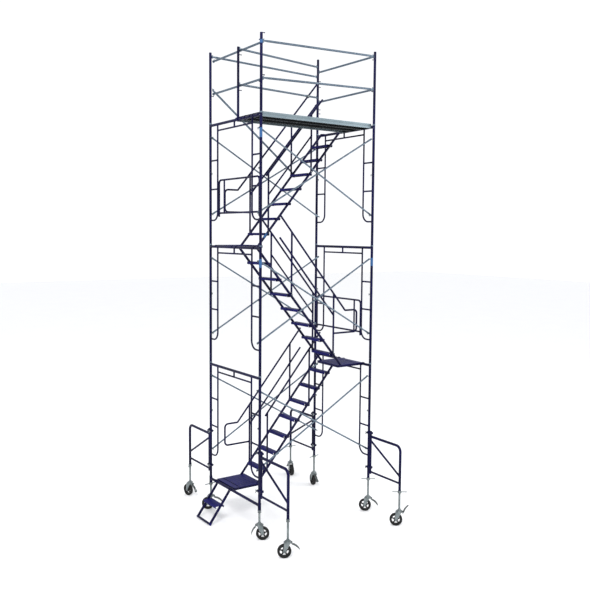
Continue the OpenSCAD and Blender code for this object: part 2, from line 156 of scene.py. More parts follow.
def roundRod(a, b, radius, soft=0.002, cols=14):
    # a straight rod; near each end the radius grows by a sine and the place moves in by one less a cosine
    a, b = np.asarray(a, float), np.asarray(b, float)
    way = unit(b - a)
    swing = np.linspace(0, np.pi / 2, 4)
    small = radius - soft + soft * np.sin(swing)
    inset = (soft * (1 - np.cos(swing)))[:, None] * way
    return tube(np.concatenate([a + inset, b - inset[::-1]]), np.concatenate([small, small[::-1]]), cols)


def turned(profile, origin, axis, cols=24, loop=False):
    # a profile of radius and height spun round the axis; loop closes the profile on itself, for rings
    profile = np.asarray(profile, float)
    axis = unit(np.asarray(axis, float))
    side = unit(np.cross(np.eye(3)[np.abs(axis).argmin()], axis))
    ring = spun(fullTurn(cols), side, np.cross(axis, side))
    grid = np.asarray(origin, float) + profile[:, 1, None, None] * axis + profile[:, 0, None, None] * ring
    return skin(grid, loop)


def prism(outline, origin, across, upward, depth):
    # a flat outline, given along two directions, carried through its depth square to both
    outline = np.asarray(outline, float)
    across, upward = np.asarray(across, float), np.asarray(upward, float)
    flat = outline[:, :1] * across + outline[:, 1:] * upward
    out = np.cross(across, upward) * depth
    origin = np.asarray(origin, float)
    return skin(np.stack([origin + flat, origin + flat + out]))


def strip(outline, origin, across, upward, depth):
    # as prism, but for an outline that bends back on itself: its ends are filled pair by pair, from the
    # two long sides, which hold equal numbers of points and run in opposite directions
    n = len(outline)
    points, quads, tris = prism(outline, origin, across, upward, depth)
    k = np.arange(n // 2 - 1)
    near = np.stack([n - 1 - k, n - 2 - k, k + 1, k], -1)
    far = np.stack([k, k + 1, n - 2 - k, n - 1 - k], -1) + n
    return outward(points[:-2], np.concatenate([quads, near, far]), tris[:0])


def box(low, high):
    # the eight corners of a block between its lowest and highest corner
    (x0, y0, z0), (x1, y1, z1) = low, high
    outline = [(x0, y0), (x1, y0), (x1, y1), (x0, y1)]
    return prism(outline, (0, 0, z0), xAxis, yAxis, z1 - z0)


def plateWithSlot(low, high, slotLow, slotHigh):
    # four bands of face round a slot, on top and below, with the outer and inner walls between them
    def ring(a, b, z):
        return np.array([(a[0], a[1], z), (b[0], a[1], z), (b[0], b[1], z), (a[0], b[1], z)])
    grid = np.stack([ring(low, high, low[2]), ring(low, high, high[2]),
                     ring(slotLow, slotHigh, high[2]), ring(slotLow, slotHigh, low[2])])
    return skin(grid, True)


def roundedRect(halfX, halfY, corner, steps=5):
    # quarter circles at the four corners, joined by straight sides
    arc = onCircle(np.linspace(0, np.pi / 2, steps)) * corner
    out = []
    for turn, (cx, cy) in enumerate([(1, 1), (-1, 1), (-1, -1), (1, -1)]):
        c, s = round(math.cos(turn * math.pi / 2)), round(math.sin(turn * math.pi / 2))
        out.append(arc @ np.array([[c, s], [-s, c]]) + np.array([cx * (halfX - corner),
                                                                 cy * (halfY - corner)]))
    return np.concatenate(out)


def hexBolt(at, axis, radius, height, shank=0.0, cols=6):
    # a six-sided head with its rim turned in, standing on a washer
    head = [(radius, 0.0), (radius, height * 0.8), (radius * 0.82, height)]
    washer = [(radius * 1.35, -0.002), (radius * 1.35, 0.0)]
    shapes = [turned(head, at, axis, cols), turned(washer, at, axis, 18)]
    if shank:
        shapes.append(turned([(radius * 0.5, height), (radius * 0.5, height + shank),
                              (radius * 0.36, height + shank + 0.001)], at, axis, 12))
    return gather(shapes)


def weldBead(at, bigAxis, reach, bigR, smallR, bead=0.003, rows=36, cols=7):
    # the closed curve where one tube meets another is found by stepping from the small tube's surface along
    # it to the big one's; a small rippled circle is carried round that curve
    a, reach = unit(np.asarray(bigAxis, float)), unit(np.asarray(reach, float))
    turn = fullTurn(rows)
    u = unit(np.cross(a, reach))
    out = spun(turn, u, np.cross(reach, u))
    p = smallR * out
    q = p - (p @ a)[:, None] * a
    e = reach - (reach @ a) * a
    qe, ee = q @ e, e @ e
    step = (-qe + np.sqrt(np.maximum(qe ** 2 - ee * ((q ** 2).sum(-1) - bigR ** 2), 0))) / ee
    centre = np.asarray(at, float) + p + step[:, None] * reach
    size = bead * (1 + 0.14 * np.cos(turn * 17))
    return skin(centre[:, None] + size[:, None, None] * spun(fullTurn(cols), out[:, None], -reach), True)


def placed(name, data):
    thing = bpy.data.objects.new(name, data)
    bpy.context.scene.collection.objects.link(thing)
    return thing


def buildPiece(name, shapes, materials, body, replaces=(), smoothAngle=35, bevel=0.0, groups=None):
    # one mesh from the gathered shapes; groups gives a material number for each shape
    points, quads, tris = gather(shapes)
    mesh = bpy.data.meshes.new(name)
    mesh.from_pydata(points.tolist(), [], quads.tolist() + tris.tolist())
    for material in materials:
        mesh.materials.append(material)
    if groups is not None:
        index = np.concatenate([np.repeat(groups, [len(s[1]) for s in shapes]),
                                np.repeat(groups, [len(s[2]) for s in shapes])]).astype(np.int32)
        mesh.polygons.foreach_set("material_index", index)
    mesh.update()
    mesh.shade_smooth()
    mesh.set_sharp_from_angle(angle=math.radians(smoothAngle))
    piece = placed(name, mesh)
    if bevel:
        edges = piece.modifiers.new("edges", "BEVEL")
        edges.width = bevel
        edges.segments = 2
        edges.limit_method = "ANGLE"
        edges.angle_limit = math.radians(40)
        edges.harden_normals = True
    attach(piece, body)
    if replaces:
        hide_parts(*replaces)
    return piece


# Shader maths

class Wire:
    # one socket of a material's tree; arithmetic on it adds Math nodes

    def __init__(self, tree, socket=None):
        self.tree = tree
        self.socket = socket

    def make(self, kind, settings=None, inputs=None, output=0):
        node = self.tree.nodes.new(kind)
        for key, value in (settings or {}).items():
            if key == "stops":
                ramp = node.color_ramp
                while len(ramp.elements) < len(value):
                    ramp.elements.new(1)
                for element, (at, shade) in zip(ramp.elements, value):
                    element.position = at
                    element.color = (shade, shade, shade, 1)
            else:
                setattr(node, key, value)
        for key, value in (inputs or {}).items():
            if isinstance(value, Wire):
                self.tree.links.new(value.socket, node.inputs[key])
            else:
                node.inputs[key].default_value = value
        return Wire(self.tree, node.outputs[output])

    def maths(self, operation, a, b=0.0, clamp=False):
        return self.make("ShaderNodeMath", {"operation": operation, "use_clamp": clamp}, {0: a, 1: b})

    def __add__(self, other):
        return self.maths("ADD", self, other)

    __radd__ = __add__

    def __sub__(self, other):
        return self.maths("SUBTRACT", self, other)

    def __rsub__(self, other):
        return self.maths("SUBTRACT", other, self)

    def __mul__(self, other):
        return self.maths("MULTIPLY", self, other)

    __rmul__ = __mul__

    def clamped(self):
        return self.maths("ADD", self, 0.0, True)

    def step(self, low, high):
        # 0 below low, 1 above high, smooth between
        return self.make("ShaderNodeMapRange", {"interpolation_type": "SMOOTHSTEP"},
                         {0: self, 1: low, 2: high, 3: 0.0, 4: 1.0})

    def mixed(self, a, b):
        # colour a where this mask is 0, b where it is 1
        colour = {key: value if isinstance(value, Wire) else (*value, 1) for key, value in ((6, a), (7, b))}
        return self.make("ShaderNodeMix", {"data_type": "RGBA"}, {0: self, **colour}, 2)

    def noise(self, place, scale, detail=3.0, rough=0.5):
        # three scales stretch the noise along the axes
        if isinstance(scale, tuple):
            place = self.make("ShaderNodeMapping", {"vector_type": "POINT"},
                              {"Vector": place, "Scale": scale})
            scale = 1.0
        inputs = {"Vector": place, "Scale": scale, "Detail": detail, "Roughness": rough}
        return self.make("ShaderNodeTexNoise", {}, inputs)


def finishOf(name, build, constants=None):
    # a material whose build function returns the values of the shader's changing sockets
    material = bpy.data.materials.new(name)
    material.use_nodes = True
    tree = material.node_tree
    tree.nodes.clear()
    wire = Wire(tree)
    place = wire.make("ShaderNodeTexCoord", output="Object")
    values = build(wire, place)
    height = values.pop("height", None)
    if height is not None:
        strength = values.pop("bumpStrength", 0.3)
        values["Normal"] = wire.make("ShaderNodeBump", {}, {"Strength": strength, "Distance": 0.001,
                                                            "Height": height})
    shader = wire.make("ShaderNodeBsdfPrincipled", {}, {**(constants or {}), **values})
    out = tree.nodes.new("ShaderNodeOutputMaterial")
    tree.links.new(shader.socket, out.inputs["Surface"])
    return material


# Where things are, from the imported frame

collarR = 0.0235
pinLow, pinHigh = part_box("coupling_pins")
xLeft, xRight = pinLow.x + collarR, pinHigh.x - collarR
yFront, yBack = pinLow.y + collarR, pinHigh.y - collarR
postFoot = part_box("lower_frame_left")[0].z
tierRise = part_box("middle_frame_left")[0].z - postFoot
headerDrop = 0.042


def headerAt(tier):
    return postFoot + (tier + 1) * tierRise - headerDrop


corners = {"front_left": (xLeft, yFront), "back_left": (xLeft, yBack),
           "front_right": (xRight, yFront), "back_right": (xRight, yBack)}

# Finishes


def nearCollars(wire, place):
    # 1 close to the height of a coupling collar, fading over 6 cm
    height = wire.make("ShaderNodeSeparateXYZ", {}, {"Vector": place}, "Z")
    phase = wire.maths("PINGPONG", height - (postFoot - tierRise), tierRise / 2)
    return 1 - phase.step(0.01, 0.075)


def coat(colour, rough, height, bump, metal=0.0):
    return {"Base Color": colour, "Roughness": rough.clamped(), "Metallic": metal, "height": height,
            "bumpStrength": bump}


paintLook = {
    "deep": (0.0007, 0.0007, 0.018), "soft": (0.0016, 0.0016, 0.040), "primer": (0.022, 0.025, 0.045),
    "dust": (0.018, 0.018, 0.038), "orangePeel": 420.0, "chip": 62.0,
}


def paintNodes(wire, place, look=paintLook, scuff=0.0):
    cloud = wire.noise(place, 2.3, 4.0, 0.55)
    fine = wire.noise(place, look["orangePeel"], 2.0)
    streak = wire.noise(place, (90.0, 90.0, 5.0), 3.0, 0.6)
    chips = wire.noise(place, look["chip"], 4.0, 0.62)
    worn = nearCollars(wire, place) * 0.13 + 0.02 * cloud + scuff
    chipped = (chips + worn).step(0.745, 0.765)
    dusty = (streak.step(0.52, 0.8) * 0.16 + cloud.step(0.5, 0.75) * 0.07)
    colour = cloud.step(0.3, 0.7).mixed(look["deep"], look["soft"])
    colour = dusty.mixed(colour, look["dust"])
    colour = chipped.mixed(colour, look["primer"])
    rough = 0.26 + 0.12 * cloud + 0.2 * dusty + 0.22 * chipped
    return coat(colour, rough, fine * 0.35 + streak * 0.12 - chipped * 0.5, 0.16, chipped * 0.5)


framePaint = finishOf("deepBluePaint", paintNodes, {"IOR": 1.4, "Specular IOR Level": 0.16})

# painted light: the frame paint made about three times lighter for the treads, landings and entry step,
# standing in for their lit upward faces; the extra scuffing and grit are real wear and texture
litTreadLook = dict(paintLook, deep=(0.0035, 0.0035, 0.062), soft=(0.008, 0.008, 0.105),
                 primer=(0.06, 0.06, 0.10), chip=95.0)


def litTreadNodes(wire, place):
    values = paintNodes(wire, place, litTreadLook, 0.035)
    grit = wire.noise(place, 900.0, 2.0)
    values["height"] = values["height"] + grit * 0.8
    values["Roughness"] = (values["Roughness"] + 0.12).clamped()
    return values


# the lighter tread paint is painted light on the same navy paint as the frame
litTreadPaint = finishOf("litTreadPaint", litTreadNodes, {"IOR": 1.35, "Specular IOR Level": 0.1})


def galvanisedNodes(wire, place):
    spangle = wire.make("ShaderNodeTexVoronoi", {"feature": "F1"}, {"Vector": place, "Scale": 85.0}, "Color")
    shade = wire.make("ShaderNodeSeparateColor", {}, {"Color": spangle}, "Red")
    cloud = wire.noise(place, 5.0, 4.0, 0.6)
    drawn = wire.noise(place, 260.0, 3.0)
    stain = wire.noise(place, (40.0, 40.0, 8.0), 4.0, 0.65).step(0.56, 0.78)
    colour = (shade * 0.5 + cloud * 0.5).step(0.2, 0.85).mixed((0.075, 0.105, 0.145), (0.17, 0.22, 0.27))
    colour = (stain * 0.45).mixed(colour, (0.23, 0.25, 0.27))
    rough = 0.34 + 0.14 * shade + 0.12 * cloud + 0.15 * stain
    return coat(colour, rough, drawn * 0.3 + shade * 0.12, 0.14, (0.82 - 0.35 * stain).clamped())


galvanisedSteel = finishOf("galvanisedTube", galvanisedNodes)


def zincNodes(wire, place):
    cloud = wire.noise(place, 9.0, 4.0, 0.6)
    fine = wire.noise(place, 320.0, 3.0)
    grease = wire.noise(place, 24.0, 5.0, 0.65).step(0.54, 0.7)
    colour = cloud.step(0.25, 0.75).mixed((0.13, 0.155, 0.16), (0.27, 0.30, 0.305))
    colour = (grease * 0.6).mixed(colour, (0.055, 0.055, 0.05))
    rough = 0.27 + 0.2 * cloud + 0.18 * grease
    return coat(colour, rough, fine * 0.3 + grease * 0.2, 0.14, (0.95 - 0.35 * grease).clamped())


zincPlate = finishOf("zincPlate", zincNodes)


def darkZincNodes(wire, place):
    values = zincNodes(wire, place)
    cloud = wire.noise(place, 13.0, 3.0).step(0.2, 0.8)
    values["Base Color"] = cloud.mixed((0.06, 0.068, 0.068), (0.15, 0.165, 0.165))
    return values


leverSteel = finishOf("leverSteel", darkZincNodes)


def rubberNodes(wire, place):
    cloud = wire.noise(place, 14.0, 4.0, 0.6)
    fine = wire.noise(place, 500.0, 3.0)
    dust = wire.noise(place, 55.0, 5.0, 0.7).step(0.5, 0.75)
    colour = cloud.mixed((0.0025, 0.0025, 0.0025), (0.008, 0.008, 0.0085))
    colour = (dust * 0.10).mixed(colour, (0.09, 0.086, 0.08))
    rough = 0.55 + 0.2 * cloud + 0.15 * dust
    return coat(colour, rough, fine * 0.4 + cloud * 0.5, 0.25)


tyreRubber = finishOf("tyreRubber", rubberNodes, {"Specular IOR Level": 0.3})


def coreNodes(wire, place):
    values = rubberNodes(wire, place)
    cast = wire.noise(place, 180.0, 4.0, 0.6)
    values["Base Color"] = cast.mixed((0.003, 0.003, 0.003), (0.009, 0.009, 0.010))
    values["Roughness"] = (0.35 + 0.2 * cast).clamped()
    values["height"] = cast * 0.9
    return values


wheelCore = finishOf("castWheelCore", coreNodes, {"Specular IOR Level": 0.25})


def alloyNodes(wire, place):
    lines = wire.noise(place, (1.2, 240.0, 240.0), 3.0, 0.6)
    cloud = wire.noise(place, 3.0, 4.0, 0.6)
    scratch = wire.noise(place, (6.0, 160.0, 60.0), 4.0, 0.7).step(0.6, 0.72)
    colour = (lines * 0.5 + cloud * 0.5).step(0.25, 0.75).mixed((0.135, 0.18, 0.205), (0.23, 0.285, 0.31))
    colour = (scratch * 0.35).mixed(colour, (0.36, 0.40, 0.42))
    rough = 0.33 + 0.18 * lines + 0.1 * cloud
    return coat(colour, rough, lines * 0.5, 0.12, (0.8 + 0.15 * cloud).clamped())


plankAlloy = finishOf("plankAlloy", alloyNodes)


# painted shade: a near-black copy of the plank alloy for the side rails between planks and the bars under the
# deck, where shade falls; the noise mottles that shade and its roughness
def shadedAlloyNodes(wire, place):
    values = alloyNodes(wire, place)
    shadeMottle = wire.noise(place, 4.0, 5.0, 0.65)
    values["Base Color"] = shadeMottle.step(0.25, 0.8).mixed((0.006, 0.008, 0.009), (0.030, 0.038, 0.042))
    values["Roughness"] = (0.5 + 0.3 * shadeMottle).clamped()
    values["Metallic"] = 0.4 + 0.3 * shadeMottle
    return values


# the near-black alloy is painted shade, not a finish of its own
shadedAlloy = finishOf("alloyPaintedShade", shadedAlloyNodes)


def plyNodes(wire, place):
    grain = wire.noise(place, (3.0, 130.0, 130.0), 5.0, 0.65)
    mesh = wire.make("ShaderNodeTexWave", {"wave_type": "BANDS", "bands_direction": "DIAGONAL"},
                     {"Vector": place, "Scale": 60.0, "Distortion": 0.4}, "Fac")
    scuff = wire.noise(place, 7.0, 5.0, 0.65).step(0.5, 0.75)
    colour = grain.mixed((0.003, 0.003, 0.003), (0.015, 0.013, 0.011))
    colour = (scuff * 0.2).mixed(colour, (0.06, 0.055, 0.05))
    rough = 0.42 + 0.25 * scuff + 0.1 * grain
    return coat(colour, rough, grain * 0.5 + mesh * 0.5, 0.3)


deckPly = finishOf("filmFacedPly", plyNodes, {"Specular IOR Level": 0.3})


def bandNodes(wire, place):
    cloud = wire.noise(place, 40.0, 4.0, 0.6)
    scuff = wire.noise(place, (160.0, 160.0, 20.0), 4.0, 0.65).step(0.6, 0.75)
    colour = cloud.mixed((0.002, 0.050, 0.16), (0.005, 0.085, 0.25))
    colour = (scuff * 0.5).mixed(colour, (0.12, 0.22, 0.38))
    rough = 0.4 + 0.2 * cloud + 0.15 * scuff
    return coat(colour, rough, cloud * 0.3 - scuff * 0.3, 0.15)


bandBlue = finishOf("markerBandBlue", bandNodes)


def weldNodes(wire, place):
    values = paintNodes(wire, place)
    values["height"] = values["height"] + wire.noise(place, 260.0, 3.0) * 1.2
    values["bumpStrength"] = 0.3
    return values


weldPaint = finishOf("paintedWeld", weldNodes, {"IOR": 1.4, "Specular IOR Level": 0.2})
print("finishes made")

nodeFinish = {"coupling_pins": galvanisedSteel}
for nodeName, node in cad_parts.items():
    node.data.materials.clear()
    node.data.materials.append(nodeFinish.get(nodeName, framePaint))

# End frames: weld beads, snap pins, brace studs' locks

endFrame = {"postR": 0.0215, "smallR": 0.0135, "innerY": 0.240, "bendDrop": 1.510, "secondDrop": 0.098,
            "rungDrops": (0.560, 1.016), "studDrops": (0.229, 0.800, 1.448), "studR": 0.0055,
            "postBead": 0.0034, "studBead": 0.0026}


def frameWelds(x, tier):
    f = endFrame
    z, post, small = headerAt(tier), f["postR"], f["smallR"]
    shapes = []

    def joint(y, down, bigAxis, reach, bigR, smallR, *size):
        shapes.append(weldBead((x, y, z - down), bigAxis, reach, bigR, smallR, *size))

    for y, sign in ((yFront, 1), (yBack, -1)):
        inner, inward = y + sign * f["innerY"], sign * yAxis
        joint(y, 0, zAxis, inward, post, post, f["postBead"])
        joint(inner, 0, yAxis, -zAxis, post, small)
        joint(y, f["bendDrop"], zAxis, inward, post, small)
        joint(inner, f["secondDrop"], zAxis, inward, small, small)
        for drop in f["rungDrops"]:
            joint(y, drop, zAxis, inward, post, small)
            joint(inner, drop, zAxis, -inward, small, small)
        for drop in f["studDrops"]:
            joint(y, drop - headerDrop, zAxis, inward, post, f["studR"], f["studBead"], 24, 6)
    joint(0, 0, yAxis, -zAxis, post, small)
    joint(0, f["secondDrop"], yAxis, zAxis, small, small)
    return shapes


for tier, tierName in enumerate(("lower", "middle", "upper")):
    for x, endName in ((xLeft, "left"), (xRight, "right")):
        buildPiece(f"{tierName}_{endName}_frame_welds", frameWelds(x, tier), [weldPaint], "tower")

snapPin = {"heights": (-0.052, 0.072), "headR": 0.0062, "stand": 0.004}


def snapPins():
    # a domed pin each side of a post, below and above every collar
    p = snapPin
    dome = [(0.0, p["stand"]), (p["headR"] * 0.6, p["stand"] * 0.86), (p["headR"], 0.0), (p["headR"], -0.003)]
    shapes = []
    for x, y in corners.values():
        for tier in range(1, 4):
            for height in p["heights"]:
                for side in (-1, 1):
                    z = postFoot + tier * tierRise + height
                    at = (x + side * endFrame["postR"], y, z)
                    shapes.append(turned(dome[::-1], at, (side, 0, 0), 12))
    return shapes


buildPiece("coupling_snap_pins", snapPins(), [zincPlate], "tower")

braceLock = {"tips": (0.088, 0.060, 0.088), "thick": 0.003, "headR": 0.009,
             "tail": [(-0.006, -0.020), (-0.003, -0.026), (0.003, -0.026), (0.006, -0.020)],
             "cap": [(0.0072, -0.001), (0.0072, 0.001), (0.0055, 0.0025)]}


def braceLocks():
    # a drop latch hangs on the tip of every stud
    b = braceLock
    outline = np.concatenate([onCircle(np.linspace(0, np.pi, 9)) * b["headR"], b["tail"]])
    shapes = []
    for x in (xLeft, xRight):
        for y, sign in ((yFront, 1), (yBack, -1)):
            for tier in range(3):
                for drop, tip in zip(endFrame["studDrops"], b["tips"]):
                    z = headerAt(tier) + headerDrop - drop
                    at = y + sign * (tip - b["headR"])
                    shapes.append(prism(outline, (x, at, z), xAxis, zAxis, -sign * b["thick"]))
                    shapes.append(turned(b["cap"], (x, y + sign * tip, z), (0, sign, 0), 12))
    return shapes


buildPiece("brace_stud_locks", braceLocks(), [zincPlate], "tower", bevel=0.0006)
print("end frames dressed")

# Cross braces and guard rails: tubes with flattened ends


def lugTube(a, b, thin, spec, cols=18):
    # the section is a superellipse whose half height and half thickness, and how square it is, change along
    # the tube: a round-ended flat lug, a swaged neck, the round tube, and the same again
    a, b = np.asarray(a, float), np.asarray(b, float)
    length = np.linalg.norm(b - a)
    way = (b - a) / length
    thin = unit(thin - (thin @ way) * way)
    wide = np.cross(way, thin)
    swing = np.linspace(0, np.pi / 2, 5)
    neck = np.linspace(0, 1, 7)
    ease = neck * neck * (3 - 2 * neck)
    s = np.concatenate([spec["tip"] + spec["lugWide"] * (1 - np.cos(swing)),
                        spec["lugEnd"] + (spec["roundFrom"] - spec["lugEnd"]) * neck])
    halfWide = np.concatenate([spec["lugWide"] * np.maximum(np.sin(swing), 0.05),
                               spec["lugWide"] + (spec["r"] - spec["lugWide"]) * ease])
    halfThin = np.concatenate([np.full(5, spec["lugThin"]),
                               spec["lugThin"] + (spec["r"] - spec["lugThin"]) * ease])
    square = np.concatenate([np.full(5, 5.0), 5.0 - 3.0 * ease])
    s = np.concatenate([s, length - s[::-1]])
    halfWide, halfThin, square = (np.concatenate([v, v[::-1]]) for v in (halfWide, halfThin, square))
    angle, power = fullTurn(cols)[None, :], 2 / square[:, None]
    x = halfWide[:, None] * squared(np.cos(angle), power)
    y = halfThin[:, None] * squared(np.sin(angle), power)
    grid = a + s[:, None, None] * way + x[..., None] * wide + y[..., None] * thin
    return skin(grid)


brace = {"tip": -0.016, "lugWide": 0.015, "lugThin": 0.003, "lugEnd": 0.050, "roundFrom": 0.098, "r": 0.0127,
         "near": 0.0385, "far": 0.0659, "span": 1.219, "drop": 0.229,
         "rivet": [(0.0, -0.034), (0.006, -0.0335), (0.009, -0.031), (0.009, -0.028), (0.0049, -0.028),
                   (0.0049, 0.028), (0.009, 0.028), (0.009, 0.031), (0.006, 0.0335), (0.0, 0.034)]}


def crossBraces():
    shapes = []
    for tier in range(3):
        low = postFoot + (tier + 1) * tierRise - brace["drop"] - brace["span"]
        high = low + brace["span"]
        for y, sign in ((yFront, 1), (yBack, -1)):
            near, far = y + sign * brace["near"], y + sign * brace["far"]
            shapes.append(lugTube((xLeft, near, high), (xRight, near, low), yAxis, brace))
            shapes.append(lugTube((xLeft, far, low), (xRight, far, high), yAxis, brace))
            at = ((xLeft + xRight) / 2, (near + far) / 2, (low + high) / 2)
            shapes.append(turned(brace["rivet"], at, yAxis, 16))
    return shapes


buildPiece("crossed_brace_tubes", crossBraces(), [galvanisedSteel], "tower", ("cross_braces",))

rail = {"tip": 0.0215, "lugWide": 0.013, "lugThin": 0.0032, "lugEnd": 0.060, "roundFrom": 0.105, "r": 0.0165,
        "pinAt": 0.044, "pinR": 0.0048, "pinDown": 0.026, "pinUp": 0.030,
        "pinHead": [(0.0075, 0.0), (0.0075, 0.004), (0.005, 0.006)],
        "keeper": ((0.014, -0.0065, -0.020), (0.034, 0.0065, 0.020)),
        "standFrom": 0.0195, "standTo": 0.043, "standY": 0.032, "standWide": 0.006, "standHigh": 0.026}
deckHeader = headerAt(2)
railTable = [  # x, y and height above the deck header at one end, then at the other
    (xLeft, yFront, 1.036, xRight, yFront, 1.105),
    (xLeft, yFront, 0.515, xRight, yFront, 0.590),
    (xLeft + 0.042, yFront + 0.006, 1.030, xLeft + 0.042, yBack - 0.006, 1.012),
    (xLeft + 0.042, yFront + 0.006, 0.510, xLeft + 0.042, yBack - 0.006, 0.502),
    (xRight, yFront, 1.106, xRight, yBack, 1.106),
    (xRight, yFront, 0.592, xRight, yBack, 0.592),
    (xLeft, yBack, 1.090, xRight, yBack, 1.030),
    (xLeft, yFront + 0.650, 1.045, xRight - 0.004, yBack - 0.002, 1.200),
    (xLeft, yFront + 0.650, 0.520, xRight - 0.004, yBack - 0.002, 0.673),
    (xLeft + 0.004, yBack - 0.040, 0.575, xLeft + 1.600, yBack - 0.108, -0.730),
]
railRuns = [np.array([(x0, y0, deckHeader + up0), (x1, y1, deckHeader + up1)])
            for x0, y0, up0, x1, y1, up1 in railTable]


def railPieces():
    # every rail, with a keeper block and its drop pin where its flat end meets a post; then the blocks
    # that stand the two left rails off their posts
    r = rail
    shapes = []
    for a, b in railRuns:
        way = unit(b - a)
        shapes.append(lugTube(a, b, unit(np.cross(way, zAxis)), r))
        for end, inward in ((a, way), (b, -way)):
            at = end + inward * r["pinAt"]
            low = at - zAxis * r["pinDown"]
            shapes.append(roundRod(low, at + zAxis * r["pinUp"], r["pinR"], 0.0015, 10))
            shapes.append(turned(r["pinHead"], at + zAxis * r["pinDown"], zAxis, 12))
            turn = np.stack([inward, np.cross(zAxis, inward), zAxis], -1)
            shapes.append(moved(box(*r["keeper"]), end, turn))
    for run in railTable[2:4]:
        for y, sign, up in ((yFront, 1, run[2]), (yBack, -1, run[5])):
            low = np.array([xLeft + r["standFrom"], y + sign * r["standY"] - r["standWide"] / 2,
                            deckHeader + up - r["standHigh"] / 2])
            shapes.append(box(low, (xLeft + r["standTo"], low[1] + r["standWide"], low[2] + r["standHigh"])))
    return shapes


buildPiece("guard_rail_tubes", railPieces(), [galvanisedSteel], "tower", ("guard_rails",))
print("braces and rails made")

# Stairs

stair = {"width": 0.560, "lane": 0.160, "landing": 0.545, "going": 0.2032, "rise": tierRise / 8,
         "treadRise": 0.248, "treadDeep": 0.115, "stringR": 0.020, "stringDrop": 0.165, "deckDrop": 0.030,
         "span": 2.134, "stringFrom": 0.470, "stringShort": 0.060, "wall": 0.004, "trayFrom": 0.032,
         "trayDeep": 0.040, "slot": (0.120, 0.142), "slotDeep": 0.030, "grip": (0.0075, 0.0022),
         "nearGap": 0.036, "farGap": 0.058, "fold": (0.038, 0.014, 0.003), "bars": (0.19, 0.37),
         "barHalf": 0.015,
         "barDeep": 0.034}
stairSlope = stair["rise"] / stair["going"]
stairRuns = [
    ("lower_stair", xLeft, yBack - stair["lane"] - stair["width"], 0, 1),
    ("middle_stair", xRight, yFront + stair["lane"] + stair["width"], 1, -1),
    ("upper_stair", xLeft, yBack - stair["lane"] - stair["width"], 2, 1),
]


def noseLine(s):
    return (s - stair["landing"]) * stairSlope + stair["rise"]


def treadHeight(i):
    return tierRise - (8 - i) * stair["treadRise"]


def treadBack(z):
    return (stair["landing"] + (z - 0.020 + stair["stringDrop"] - stair["rise"]) / stairSlope
            + stair["treadDeep"] / 2 + 0.012)


def formedSection(depth, drop, lip, wall, corner=0.006):
    # the outer line of a folded channel, then the same line set in by the wall, run back the other way
    swing = np.linspace(0, np.pi / 2, 5)
    front = np.stack([corner - corner * np.cos(swing), -corner + corner * np.sin(swing)], -1)
    back = np.stack([depth - corner + corner * np.sin(swing), -corner + corner * np.cos(swing)], -1)
    outer = np.concatenate([[(lip, -drop)], [(0, -drop)], front, back, [(depth, -drop)],
                            [(depth - lip, -drop)]])
    inner = outer.copy()
    middle = np.array([depth / 2, -drop / 2])
    inner[:, 0] = np.where(outer[:, 0] < middle[0], outer[:, 0] + wall, outer[:, 0] - wall)
    inner[:, 1] = np.where(outer[:, 1] < middle[1], outer[:, 1] + wall, outer[:, 1] - wall)
    inner[0, 0], inner[-1, 0] = lip, depth - lip
    return np.concatenate([outer, inner[::-1]])


def buttons(corner, depth, wide, rows):
    # raised round grips, twelve to a row; each row is a share of the depth, and every other one is shifted
    radius, height = stair["grip"]
    profile = np.stack([np.array([1.0, 0.8, 0.35]) * radius, [-0.0008, height * 0.8, height]], -1)
    shapes = []
    for row, share in enumerate(rows):
        for k in range(12):
            across = wide * (k + 0.5 + 0.25 * (-1) ** row) / 12
            at = (corner[0] + depth * share, corner[1] + across, corner[2])
            shapes.append(turned(profile, at, zAxis, 8))
    return shapes


def hookStrap(at, innerR, outerR, width):
    # a strap bent over a round bar, open below
    bend = onCircle(np.linspace(math.radians(-22), math.radians(202), 19))
    outline = np.concatenate([bend * outerR, bend[::-1] * innerR])
    return strip(outline, np.asarray(at) - yAxis * width / 2, xAxis, zAxis, -width)


def headerHook(at, side, gap, width=0.030, bar=0.0215, thick=0.008):
    # a strap over the header, with a tongue to what it carries
    tongue = box((bar + 0.0015, -width / 2, -0.019), (gap, width / 2, 0.024))
    turn = np.diag([side, 1.0, 1.0])
    return [hookStrap(at, bar + 0.0006, bar + thick, width), outward(*moved(tongue, at, turn))]


